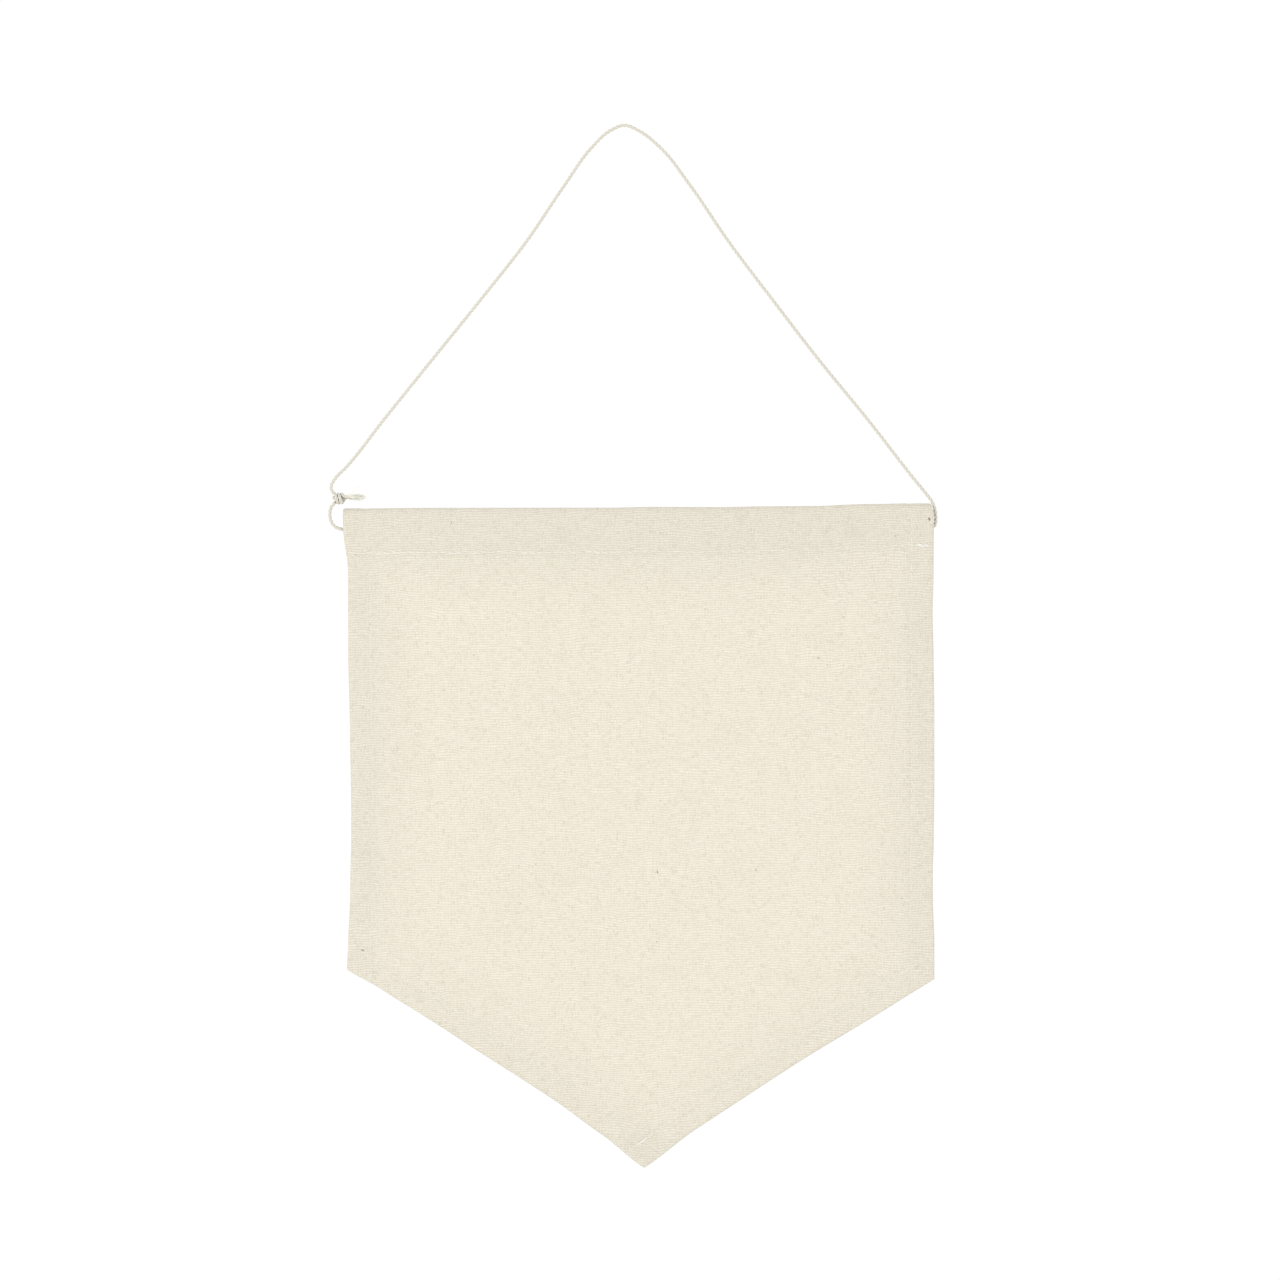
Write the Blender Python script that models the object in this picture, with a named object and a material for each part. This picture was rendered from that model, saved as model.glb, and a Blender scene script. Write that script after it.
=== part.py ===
"""A small canvas banner: one hemmed five-sided cloth, hung by a knotted cord through its header.

The front faces -Y and +Z is up. The origin is the underside of the cord's top bend, where it is hung.
"""

import math

import bmesh
import bpy
from mathutils import Matrix, Vector
from mathutils.geometry import interpolate_bezier, intersect_line_line

MM = 0.001

# The cloth's outline, seen from the front
BODY_WIDTH = 203.2 * MM
BODY_LEFT = -95.9 * MM
BODY_RIGHT = BODY_LEFT + BODY_WIDTH
TOP_Z = -132.2 * MM
LEFT_CORNER_Z = -292.2 * MM
RIGHT_CORNER_Z = -295.6 * MM
TIP_X = 6.8 * MM
TIP_Z = -361.2 * MM
CORNER_RADIUS = 0.9 * MM
TIP_RADIUS = 2.2 * MM
ARC_STEPS = 3

# The cloth in depth: one layer, and the turned hem lying on its back
SHEET_FRONT = -0.8 * MM
SHEET_THICKNESS = 1.0 * MM
HEM_THICKNESS = 1.0 * MM
HEM_WIDTH = 8.8 * MM
EDGE_ROUNDING = 0.38 * MM
EDGE_STEPS = 2
SHEET_BACK = SHEET_FRONT + SHEET_THICKNESS
HEM_BACK = SHEET_BACK + HEM_THICKNESS

# The header is folded to the back and sewn down, which leaves a flat channel for the cord
CHANNEL_WALL = 1.05 * MM
CHANNEL_END = 13.9 * MM
HEADER_END = 17.4 * MM
PANEL_START = 15.2 * MM
HEADER_SIDE_INSET = 0.15 * MM
HEADER_MIDDLE = 0.15 * MM
# Millimetres: drop below the fold, front face, back face
HEADER_SECTION = (
    (0.35, -0.90, 0.90),
    (1.40, -1.65, 1.65),
    (4.00, -2.05, 2.00),
    (7.40, -2.15, 2.10),
    (9.80, -1.65, 1.90),
    (12.60, -1.20, 1.60),
    (15.50, -0.98, 1.38),
    (16.90, -0.65, 1.20),
)
CHANNEL_ROWS = slice(1, 6)
SECTION_STEPS = 2

# How the sewn cloth is drawn out of true, each table in millimetres
# Place across, rise of the top edge
TOP_EDGE_RISE = (
    (-22.0, 0.0),
    (33.0, 0.35),
    (57.0, 0.75),
    (90.0, 1.60),
)
# Drop below the top edge, shift of the left side to the right
LEFT_SIDE_SWAY = (
    (0.0, -1.9),
    (9.0, -1.9),
    (24.0, 0.0),
    (66.0, 0.0),
    (112.0, 0.95),
    (134.0, 0.7),
    (150.0, -0.1),
    (160.0, -0.4),
)
# Drop below the top edge, shift of the right side to the right
RIGHT_SIDE_SWAY = (
    (0.0, -1.3),
    (10.0, -0.4),
    (24.0, -0.2),
    (36.0, -0.5),
    (72.0, 0.1),
    (98.0, 0.1),
    (127.0, -0.5),
    (148.0, 0.1),
)
SWAY_REACH = 28.0 * MM
RISE_REACH = 70.0 * MM
LOWER_EDGE_DRAW_IN = 1.1 * MM

# Depth of the hang: a broad roll that grows below the header, and a curl at the tip
ROLL_DEPTH = 1.5 * MM
ROLL_LENGTH = 236.0 * MM
ROLL_START = -38.0 * MM
ROLL_FALL = 95.0 * MM
SIDE_LEAN = 0.9 * MM
TIP_CURL = 1.9 * MM
TIP_CURL_REACH = 78.0 * MM

CELL_WIDTH = 14.2 * MM
CELL_HEIGHT = 9.2 * MM

# The cord: its route in millimetres, from the knot over the top bend and back through the channel
CORD_DIAMETER = 1.2 * MM
LEFT_LEG = (
    (-100.75, 0.0, -127.2),
    (-101.6, 0.0, -126.1),
    (-101.7, 0.0, -124.4),
    (-100.4, 0.0, -122.0),
    (-96.8, -0.1, -118.3),
    (-83.6, -0.4, -101.7),
    (-66.8, -0.7, -80.9),
    (-49.9, -0.8, -60.0),
    (-33.6, -0.6, -39.2),
    (-20.5, -0.3, -19.8),
    (-11.5, -0.1, -7.3),
    (-5.0, 0.0, -1.3),
)
TOP_BEND = ((0.0, 0.0, 0.6),)
RIGHT_LEG = (
    (5.0, 0.0, -1.3),
    (12.6, 0.1, -7.3),
    (22.5, 0.3, -19.8),
    (35.8, 0.6, -39.2),
    (51.5, 0.8, -60.0),
    (67.6, 0.7, -80.9),
    (84.6, 0.4, -101.7),
    (100.8, 0.1, -122.5),
    (105.3, 0.0, -127.6),
    (107.3, 0.0, -130.9),
    (107.9, 0.0, -133.6),
)
CHANNEL_RUN = (
    (107.7, 0.0, -135.9),
    (106.5, 0.0, -137.7),
    (104.4, 0.0, -138.2),
    (85.0, 0.0, -138.2),
    (55.0, 0.0, -138.9),
    (15.0, 0.0, -139.5),
    (-40.0, 0.0, -139.7),
    (-94.6, 0.0, -139.7),
    (-98.4, 0.0, -139.5),
    (-100.8, 0.0, -138.4),
    (-102.0, 0.0, -136.2),
    (-102.2, 0.0, -133.6),
    (-101.7, 0.0, -131.8),
    (-100.75, 0.0, -130.6),
)
CORD_ROUTE = LEFT_LEG + TOP_BEND + RIGHT_LEG + CHANNEL_RUN
CORD_LONGEST_STEP = 12.5 * MM
CORD_LARGEST_TURN = math.radians(16.0)
CORD_ROUNDNESS = 2
ROUTE_STEPS = 24

# The knot ties both ends together, and their frayed tails stick out of it to the right
KNOT_CENTRE = Vector((-99.0, 0.0, -128.9)) * MM
KNOT_CORE = Vector((2.0, 1.55, 1.75)) * MM
CORE_SEGMENTS = 20
CORE_RINGS = 12
WRAP_RADIUS = 1.5 * MM
WRAP_SEGMENTS = 20
WRAP_SIDES = 10
# Millimetres and degrees: place along the knot, tilt about Z, tilt about Y
WRAPS = (
    (-0.70, 18.0, -16.0),
    (0.65, -16.0, 20.0),
)
STRAND_DIAMETER = 0.5 * MM
STRAND_ROOT = 0.32 * MM
STRAND_STEPS = 5
BURIED = 0.9 * MM
# Millimetres from the knot's centre: where each tail leaves it, and its unfrayed length
TAILS = (
    ((1.45, -0.60, 1.10), 2.4),
    ((1.45, 0.65, 0.55), 2.1),
)
# The tail's row, then in millimetres from the tail's axis: reach to the right, to the back, up
STRANDS = (
    (0, 5.2, -0.55, 0.80),
    (0, 5.5, -0.80, 0.10),
    (0, 4.8, -0.30, -0.75),
    (0, 3.4, -0.20, 3.60),
    (1, 4.6, 0.55, 0.75),
    (1, 5.1, 0.85, -0.10),
    (1, 4.3, 0.30, -0.80),
)

WELD = 0.002 * MM
# A face of the flat plate counts as its front or back when its normal lies this nearly along Y
FACING = 0.99
# An edge that turns more than this stays a crease when a body is shaded smooth
CREASE_ANGLE = math.radians(35.0)

# Colour, roughness
CANVAS_FINISH = ((0.87, 0.81, 0.69, 1.0), 0.92)
CORD_FINISH = ((0.88, 0.84, 0.73, 1.0), 0.85)


def clear_scene():
    """Remove what the opened file holds."""
    for thing in list(bpy.data.objects):
        bpy.data.objects.remove(thing)


def make_collection(name):
    """Link a new collection to the scene."""
    collection = bpy.data.collections.new(name)
    bpy.context.scene.collection.children.link(collection)
    return collection


def make_material(name, finish):
    """A plain cloth-like material."""
    colour, roughness = finish
    material = bpy.data.materials.new(name)
    material.use_nodes = True
    shader = material.node_tree.nodes["Principled BSDF"]
    shader.inputs["Base Color"].default_value = colour
    shader.inputs["Roughness"].default_value = roughness
    shader.inputs["Metallic"].default_value = 0.0
    return material


def smooth(share):
    """Ease from 0 to 1 with level ends."""
    share = min(max(share, 0.0), 1.0)
    return share * share * (3.0 - 2.0 * share)


def along(table, place):
    """Read a table of (place, amount) rows in millimetres, easing from row to row."""
    place = place / MM
    amount = table[0][1]
    for (start, low), (end, high) in zip(table, table[1:]):
        if place > start:
            amount = low + (high - low) * smooth((place - start) / (end - start))
    return amount * MM


def place_curve(curve, matrix, collection):
    """Put a curve in the scene at a matrix and turn it into a welded mesh object."""
    guide = bpy.data.objects.new(curve.name, curve)
    guide.matrix_world = matrix
    collection.objects.link(guide)
    bpy.context.view_layer.update()
    return bake(guide, collection)


def bake(thing, collection):
    """Replace an object by a plain mesh object of its evaluated shape, in world space."""
    evaluated = thing.evaluated_get(bpy.context.evaluated_depsgraph_get())
    mesh = bpy.data.meshes.new_from_object(evaluated)
    mesh.transform(thing.matrix_world)
    name = thing.name
    bpy.data.objects.remove(thing)
    shape = bmesh.new()
    shape.from_mesh(mesh)
    bmesh.ops.remove_doubles(shape, verts=shape.verts, dist=WELD)
    bmesh.ops.recalc_face_normals(shape, faces=shape.faces)
    shape.to_mesh(mesh)
    shape.free()
    baked = bpy.data.objects.new(name, mesh)
    collection.objects.link(baked)
    return baked


def combine(body, others, operation, collection):
    """Join the other bodies to a body, or cut them from it, and keep one mesh object."""
    for other in others:
        step = body.modifiers.new(other.name, "BOOLEAN")
        step.operation = operation
        step.solver = "EXACT"
        step.object = other
    bpy.context.view_layer.update()
    baked = bake(body, collection)
    for other in others:
        bpy.data.objects.remove(other)
    return baked


def flat_outline(name, points, thickness):
    """A filled 2D curve through straight-sided points, extruded to a thickness."""
    curve = bpy.data.curves.new(name, "CURVE")
    curve.dimensions = "2D"
    curve.fill_mode = "BOTH"
    curve.extrude = thickness / 2
    spline = curve.splines.new("POLY")
    spline.points.add(len(points) - 1)
    for target, (across, up) in zip(spline.points, points):
        target.co = (across, up, 0.0, 1.0)
    spline.use_cyclic_u = True
    return curve


def facing_front(middle):
    """The matrix that stands a flat outline up, facing -Y, with its middle at a depth."""
    return Matrix.Translation((0.0, middle, 0.0)) @ Matrix.Rotation(math.pi / 2, 4, "X")


def round_corner(before, corner, after, radius):
    """Points of the arc that rounds a corner of an outline."""
    to_before = (before - corner).normalized()
    to_after = (after - corner).normalized()
    half = to_before.angle(to_after) / 2
    middle = corner + (to_before + to_after).normalized() * (radius / math.sin(half))
    start = corner + to_before * (radius / math.tan(half)) - middle
    end = corner + to_after * (radius / math.tan(half)) - middle
    turns = [start.slerp(end, step / ARC_STEPS).normalized() for step in range(ARC_STEPS + 1)]
    return [middle + turn * radius for turn in turns]


def panel_corners(inset):
    """The left corner, tip and right corner of the panel, moved in from its edges."""
    left = Vector((BODY_LEFT, 0.0, LEFT_CORNER_Z))
    right = Vector((BODY_RIGHT, 0.0, RIGHT_CORNER_Z))
    tip = Vector((TIP_X, 0.0, TIP_Z))
    left_way = (tip - left).normalized()
    right_way = (tip - right).normalized()
    left_in = left + Vector((-left_way.z, 0.0, left_way.x)) * inset
    right_in = right + Vector((right_way.z, 0.0, -right_way.x)) * inset
    new_tip = intersect_line_line(left_in, left_in + left_way, right_in, right_in + right_way)[0]
    new_left = left_in - left_way * ((left_in.x - BODY_LEFT - inset) / left_way.x)
    new_right = right_in - right_way * ((right_in.x - BODY_RIGHT + inset) / right_way.x)
    return new_left, new_tip, new_right


def panel_outline(inset, start):
    """The panel's outline, moved in from its edges, from a drop below the top edge down."""
    left, tip, right = panel_corners(inset)
    top_left = Vector((BODY_LEFT + inset, 0.0, TOP_Z - start))
    top_right = Vector((BODY_RIGHT - inset, 0.0, TOP_Z - start))
    points = [top_left]
    points += round_corner(top_left, left, tip, CORNER_RADIUS)
    points += round_corner(left, tip, right, TIP_RADIUS)
    points += round_corner(tip, right, top_right, CORNER_RADIUS)
    points.append(top_right)
    return [(point.x, point.z) for point in points]


def round_rims(plate):
    """Round the edges where an upright plate's sides meet its front and back."""
    shape = bmesh.new()
    shape.from_mesh(plate.data)
    broad = [face for face in shape.faces if abs(face.normal.y) > FACING]
    rims = {edge for face in broad for edge in face.edges}
    rims = [edge for edge in rims if not all(face in broad for face in edge.link_faces)]
    bmesh.ops.bevel(shape, geom=rims, offset=EDGE_ROUNDING, segments=EDGE_STEPS, profile=0.5,
                    affect="EDGES")
    shape.to_mesh(plate.data)
    shape.free()


def make_panel(collection):
    """The panel as one layer with a thicker band, its turned hem, at the back of its edges."""
    thickness = HEM_BACK - SHEET_FRONT
    plate = flat_outline("panel", panel_outline(0.0, PANEL_START), thickness)
    plate = place_curve(plate, facing_front(SHEET_FRONT + thickness / 2), collection)
    round_rims(plate)
    above = PANEL_START - HEM_WIDTH
    depth = 2 * HEM_THICKNESS
    hollow = flat_outline("inside_hem", panel_outline(HEM_WIDTH, above), depth)
    hollow = place_curve(hollow, facing_front(SHEET_BACK + depth / 2), collection)
    return combine(plate, [hollow], "DIFFERENCE", collection)


def section_loop(rows, top, bottom, middle):
    """A closed loop down the front faces of the rows and up their back faces."""
    front = [(row[1] * MM, -row[0] * MM) for row in rows]
    back = [(row[2] * MM, -row[0] * MM) for row in reversed(rows)]
    return [(0.0, -top)] + front + [(middle, -bottom)] + back


def make_header(collection):
    """The folded header as a flat sleeve that is open at both ends."""
    wall = CHANNEL_WALL / MM
    inner_rows = [(drop, front + wall, back - wall) for drop, front, back in HEADER_SECTION[CHANNEL_ROWS]]
    curve = bpy.data.curves.new("header", "CURVE")
    curve.dimensions = "2D"
    curve.fill_mode = "BOTH"
    curve.resolution_u = SECTION_STEPS
    curve.extrude = BODY_WIDTH / 2 - HEADER_SIDE_INSET
    outer = section_loop(HEADER_SECTION, 0.0, HEADER_END, HEADER_MIDDLE)
    inner = section_loop(inner_rows, CHANNEL_WALL, CHANNEL_END, HEADER_MIDDLE)
    for loop in (outer, inner):
        spline = curve.splines.new("BEZIER")
        spline.bezier_points.add(len(loop) - 1)
        for target, (depth, up) in zip(spline.bezier_points, loop):
            target.co = (depth, up, 0.0)
            target.handle_left_type = "AUTO"
            target.handle_right_type = "AUTO"
        spline.use_cyclic_u = True
    across = Matrix(((0, 0, 1, 0), (1, 0, 0, 0), (0, 1, 0, 0), (0, 0, 0, 1)))
    middle = Vector((BODY_LEFT + BODY_WIDTH / 2, 0.0, TOP_Z))
    sleeve = place_curve(curve, Matrix.Translation(middle) @ across, collection)
    return sleeve


def edge_share(distance, reach):
    """1 on an edge, easing to 0 at a distance inside it."""
    return 1.0 - smooth(distance / reach)


def draw_in(x, z):
    """How far the two lower edges pull a point into the panel."""
    left, tip, right = panel_corners(0.0)
    pull = Vector((0.0, 0.0, 0.0))
    for corner in (left, right):
        way = tip - corner
        share = ((x - corner.x) * way.x + (z - corner.z) * way.z) / way.length_squared
        if 0.0 < share < 1.0:
            inward = Vector((way.z, 0.0, -way.x)).normalized()
            inward *= 1.0 if inward.z > 0 else -1.0
            away = (Vector((x, 0.0, z)) - corner).dot(inward)
            pull += inward * LOWER_EDGE_DRAW_IN * math.sin(math.pi * share) * edge_share(away, SWAY_REACH)
    return pull


def depth_of_hang(x, z):
    """How far the hanging cloth leaves its flat plane at a place, towards the back."""
    below_header = TOP_Z - HEADER_END - z
    fall = smooth(below_header / ROLL_FALL)
    roll = ROLL_DEPTH * math.sin(2 * math.pi * (x - ROLL_START) / ROLL_LENGTH)
    lean = SIDE_LEAN * (x - TIP_X) / BODY_WIDTH
    curl = TIP_CURL * smooth(1.0 - (z - TIP_Z) / TIP_CURL_REACH)
    return fall * (roll + lean) - curl


def hang(point):
    """Move a point of the flat cloth to where it hangs."""
    drop = TOP_Z - point.z
    left = edge_share(point.x - BODY_LEFT, SWAY_REACH)
    right = edge_share(BODY_RIGHT - point.x, SWAY_REACH)
    shift = left * along(LEFT_SIDE_SWAY, drop) + right * along(RIGHT_SIDE_SWAY, drop)
    rise = edge_share(drop, RISE_REACH) * along(TOP_EDGE_RISE, point.x)
    moved = point + draw_in(point.x, point.z)
    return moved + Vector((shift, depth_of_hang(point.x, point.z), rise))


def cut_into_cells(shape):
    """Cut a flat body along even upright and level planes, so that it can bend."""
    columns = round(BODY_WIDTH / CELL_WIDTH)
    rows = round((TOP_Z - TIP_Z) / CELL_HEIGHT)
    planes = [(BODY_LEFT + BODY_WIDTH * step / columns, 0) for step in range(1, columns)]
    planes += [(TOP_Z + (TIP_Z - TOP_Z) * step / rows, 2) for step in range(1, rows)]
    for place, axis in planes:
        spot = Vector((0.0, 0.0, 0.0))
        spot[axis] = place
        facing = Vector((0.0, 0.0, 0.0))
        facing[axis] = 1.0
        everything = shape.verts[:] + shape.edges[:] + shape.faces[:]
        bmesh.ops.bisect_plane(shape, geom=everything, dist=WELD, plane_co=spot, plane_no=facing)


def make_cloth(collection, material):
    """The whole cloth: panel, turned hem and folded header in one body, then hung."""
    panel = make_panel(collection)
    header = make_header(collection)
    cloth = combine(panel, [header], "UNION", collection)
    cloth.name = "banner_cloth"
    shape = bmesh.new()
    shape.from_mesh(cloth.data)
    cut_into_cells(shape)
    bmesh.ops.triangulate(shape, faces=shape.faces)
    for vertex in shape.verts:
        vertex.co = hang(vertex.co)
    shape.to_mesh(cloth.data)
    shape.free()
    finish(cloth, material)


def finish(thing, material):
    """Shade a body smooth but for its sharp edges, and give it its material."""
    thing.data.shade_smooth()
    thing.data.set_sharp_from_angle(angle=CREASE_ANGLE)
    thing.data.materials.clear()
    thing.data.materials.append(material)


def smooth_route(route, steps):
    """Many points of one smooth curve through the points of a route."""
    points = [Vector(point) * MM for point in route]
    ways = []
    for index, point in enumerate(points):
        before = points[max(index - 1, 0)]
        after = points[min(index + 1, len(points) - 1)]
        arriving = point - before
        leaving = after - point
        way = arriving.normalized() * leaving.length + leaving.normalized() * arriving.length
        if index in (0, len(points) - 1):
            way = arriving + leaving
        ways.append(way.normalized())
    fine = []
    for index in range(len(points) - 1):
        start, end = points[index], points[index + 1]
        third = (end - start).length / 3
        stretch = interpolate_bezier(start, start + ways[index] * third, end - ways[index + 1] * third,
                                     end, steps)
        fine += stretch[:-1]
    return fine + [points[-1]]


def thin_out(fine):
    """Keep points close together where the route bends and far apart where it is straight."""
    kept = [fine[0]]
    due = 0.0
    for before, point, after in zip(fine, fine[1:], fine[2:]):
        turn = (point - before).angle(after - point, 0.0)
        due += (point - before).length / CORD_LONGEST_STEP + turn / CORD_LARGEST_TURN
        if due >= 1.0:
            kept.append(point)
            due = 0.0
    return kept + [fine[-1]]


def tube_curve(name, points, diameter, roundness):
    """A round curve with filled caps along a list of points."""
    curve = bpy.data.curves.new(name, "CURVE")
    curve.dimensions = "3D"
    curve.bevel_depth = diameter / 2
    curve.bevel_resolution = roundness
    curve.use_fill_caps = True
    spline = curve.splines.new("POLY")
    spline.points.add(len(points) - 1)
    for target, point in zip(spline.points, points):
        target.co = (*point, 1.0)
    return curve


def make_cord(collection, material):
    """The cord as one tube from the knot, over the top bend, and back through the channel."""
    points = thin_out(smooth_route(CORD_ROUTE, ROUTE_STEPS))
    curve = tube_curve("hanging_cord", points, CORD_DIAMETER, CORD_ROUNDNESS)
    curve.materials.append(material)
    cord = bpy.data.objects.new("hanging_cord", curve)
    collection.objects.link(cord)
    length = sum((after - before).length for before, after in zip(points, points[1:]))
    print(f"hanging_cord: {len(points)} points, {length / MM:.0f} mm long")


def make_wrap(name, along_knot, tilts, collection):
    """One turn of the cord round the knot."""
    bpy.ops.mesh.primitive_torus_add(major_radius=WRAP_RADIUS, minor_radius=CORD_DIAMETER / 2,
                                     major_segments=WRAP_SEGMENTS, minor_segments=WRAP_SIDES)
    wrap = bpy.context.object
    wrap.name = name
    turn_about_z, turn_about_y = tilts
    across = Matrix.Rotation(math.pi / 2, 4, "Y")
    tilt = Matrix.Rotation(turn_about_z, 4, "Z") @ Matrix.Rotation(turn_about_y, 4, "Y")
    place = Matrix.Translation(KNOT_CENTRE + Vector((along_knot, 0.0, 0.0)))
    wrap.matrix_world = place @ tilt @ across
    bpy.context.view_layer.update()
    return bake(wrap, collection)


def strand_points(root, reach, spread):
    """A strand that starts inside its tail's end and eases away from the tail's axis."""
    away = spread.normalized()
    points = []
    for step in range(STRAND_STEPS + 1):
        share = step / STRAND_STEPS
        outward = STRAND_ROOT + (spread.length - STRAND_ROOT) * smooth(share)
        points.append(root + Vector((reach * share, 0.0, 0.0)) + away * outward)
    return points


def make_tail_pieces(collection):
    """The two short tails, and the strands that their ends fray into."""
    curves = []
    roots = []
    buried = Vector((BURIED, 0.0, 0.0))
    for index, (place, length) in enumerate(TAILS):
        start = KNOT_CENTRE + Vector(place) * MM
        end = start + Vector((length * MM, 0.0, 0.0))
        curves.append(tube_curve(f"tail_{index}", [start - buried, end], CORD_DIAMETER, CORD_ROUNDNESS))
        roots.append(end - buried)
    for index, (tail, right, back, up) in enumerate(STRANDS):
        points = strand_points(roots[tail], right * MM, Vector((0.0, back, up)) * MM)
        curves.append(tube_curve(f"strand_{index}", points, STRAND_DIAMETER, 0))
    return [place_curve(curve, Matrix.Identity(4), collection) for curve in curves]


def make_knot(collection, material):
    """The knot, with both tails and their frayed strands fused to it."""
    bpy.ops.mesh.primitive_uv_sphere_add(segments=CORE_SEGMENTS, ring_count=CORE_RINGS, radius=1.0)
    core = bpy.context.object
    core.name = "cord_knot"
    core.matrix_world = Matrix.Translation(KNOT_CENTRE) @ Matrix.Diagonal((*KNOT_CORE, 1.0))
    bpy.context.view_layer.update()
    core = bake(core, collection)
    pieces = []
    for index, (place, about_z, about_y) in enumerate(WRAPS):
        tilts = (math.radians(about_z), math.radians(about_y))
        pieces.append(make_wrap(f"wrap_{index}", place * MM, tilts, collection))
    pieces += make_tail_pieces(collection)
    knot = combine(core, pieces, "UNION", collection)
    finish(knot, material)


def main():
    clear_scene()
    collection = make_collection("canvas_banner")
    canvas = make_material("natural_canvas", CANVAS_FINISH)
    cotton = make_material("cotton_cord", CORD_FINISH)
    make_cloth(collection, canvas)
    make_cord(collection, cotton)
    make_knot(collection, cotton)


main()
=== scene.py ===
# %% [markdown]
# # A small canvas banner, hung by a knotted cord
#
# The real thing is one piece of unbleached cotton canvas. Its sides and its two lower edges are turned twice
# to the back and sewn, its top is folded over into a flat channel, and one thin cotton cord runs through that
# channel and is knotted beside its left end.
#
# A model of cloth can be a painted block, a simulated sheet, or a sheet that is folded as a sewer folds it.
# This lesson folds it: each hem is built from its turned layers, so every edge is as thick as a real one.

import math
import random

import bmesh
import bpy
import numpy as np
from mathutils import Matrix, Vector
from mathutils.geometry import interpolate_bezier


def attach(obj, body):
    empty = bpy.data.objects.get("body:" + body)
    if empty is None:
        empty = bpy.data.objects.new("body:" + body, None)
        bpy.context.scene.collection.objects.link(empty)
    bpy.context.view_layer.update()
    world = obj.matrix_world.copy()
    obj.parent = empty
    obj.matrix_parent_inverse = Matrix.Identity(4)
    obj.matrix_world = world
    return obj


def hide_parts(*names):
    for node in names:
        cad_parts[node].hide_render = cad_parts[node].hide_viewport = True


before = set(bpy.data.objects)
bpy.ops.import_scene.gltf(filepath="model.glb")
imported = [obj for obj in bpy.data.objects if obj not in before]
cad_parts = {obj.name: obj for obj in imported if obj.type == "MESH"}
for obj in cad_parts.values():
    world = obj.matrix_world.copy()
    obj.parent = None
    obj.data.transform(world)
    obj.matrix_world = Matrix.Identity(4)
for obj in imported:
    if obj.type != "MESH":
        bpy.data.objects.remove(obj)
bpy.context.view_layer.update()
MM = 0.001
print("solids in the frame:", sorted(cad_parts))

# %% [markdown]
# ## The camera
#
# The photo looks straight at the banner from the front. The edges of the cloth stay parallel in it, so the
# camera stood well back with a long lens. A long lens could also be faked with an orthographic camera, but a
# perspective one keeps the slight view of the header's thickness that a real lens gives.

# %% The camera, straight in front
PHOTO_WIDTH = 444.2 * MM
CAMERA_DISTANCE = 1.6
SENSOR = 36.0
VIEW_CENTRE = Vector((5.4, 0.0, -178.0)) * MM

camera_data = bpy.data.cameras.new("camera")
camera_data.sensor_width = SENSOR
camera_data.lens = SENSOR * CAMERA_DISTANCE / PHOTO_WIDTH
camera = bpy.data.objects.new("camera", camera_data)
camera.location = VIEW_CENTRE + Vector((0.0, -CAMERA_DISTANCE, 0.0))
camera.rotation_euler = (math.pi / 2, 0.0, 0.0)
bpy.context.scene.collection.objects.link(camera)
bpy.context.scene.camera = camera
print(f"camera: {camera_data.lens:.0f} mm lens at {CAMERA_DISTANCE} m")

# %% [markdown]
# ## The route of the cord
#
# The cord is cotton, about 1.2 mm thick, and so limp that it keeps each small bend. It starts in the knot,
# rises to one rounded bend at the top where it hangs on a nail, comes down on the right, turns into the
# channel and comes back to the knot. A limp cord is drawn best as one smooth curve through listed points: a
# spring simulation would pull the legs straight and lose their slight sag.

# %% The points that the cord passes outside the header, in millimetres
LEFT_LEG = (
    (-100.75, 0.0, -127.2),
    (-101.6, 0.0, -126.1),
    (-101.7, 0.0, -124.4),
    (-100.4, 0.0, -122.0),
    (-96.8, -0.1, -118.3),
    (-83.6, -0.4, -101.7),
    (-66.8, -0.7, -80.9),
    (-49.9, -0.8, -60.0),
    (-33.6, -0.6, -39.2),
    (-20.5, -0.3, -19.8),
    (-11.5, -0.1, -7.3),
    (-5.0, 0.0, -1.3),
)
TOP_BEND = ((0.0, 0.0, 0.6),)
RIGHT_LEG = (
    (5.0, 0.0, -1.3),
    (12.6, 0.1, -7.3),
    (22.5, 0.3, -19.8),
    (35.8, 0.6, -39.2),
    (51.5, 0.8, -60.0),
    (67.6, 0.7, -80.9),
    (84.6, 0.4, -101.7),
    (100.8, 0.1, -122.5),
    (104.9, 0.0, -127.5),
    (106.5, 0.0, -129.6),
    (107.4, 0.0, -131.4),
)
print("points on both legs:", len(LEFT_LEG + RIGHT_LEG))

# %% The points round the corner, through the channel and back to the knot
CHANNEL_RUN = (
    (107.95, 0.0, -133.8),
    (108.1, 0.0, -136.2),
    (107.75, 0.0, -138.2),
    (106.5, 0.0, -139.1),
    (104.3, 0.0, -138.9),
    (85.0, 0.0, -138.2),
    (55.0, 0.0, -138.9),
    (15.0, 0.0, -139.5),
    (-40.0, 0.0, -139.7),
    (-94.6, 0.0, -139.7),
    (-98.4, 0.0, -139.5),
    (-100.8, 0.0, -138.4),
    (-102.0, 0.0, -136.2),
    (-102.2, 0.0, -133.6),
    (-101.7, 0.0, -131.8),
    (-100.75, 0.0, -130.6),
)
route = [Vector(point) * MM for point in LEFT_LEG + TOP_BEND + RIGHT_LEG + CHANNEL_RUN]
print("points on the route:", len(route))

# %% [markdown]
# ## The knot is the same cord
#
# Both ends of the cord are tied together. In the real knot each end winds round the other and comes out to
# the right as a short tail. So the two ends go on here as a double helix round the knot's axis, which runs
# from left to right, half a turn apart and one cord's thickness from each other.

# %% Each end winds round the knot and leaves it as a tail
KNOT_CENTRE = Vector((-99.0, 0.0, -128.9)) * MM
WIND_RADIUS = 1.5 * MM
WIND_START = -1.45 * MM
WIND_LENGTH = 2.7 * MM
WIND_TURN = math.radians(400.0)
WIND_STEPS = 14
# How much wider the windings are at the knot's middle
WIND_BELLY = 0.06
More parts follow.
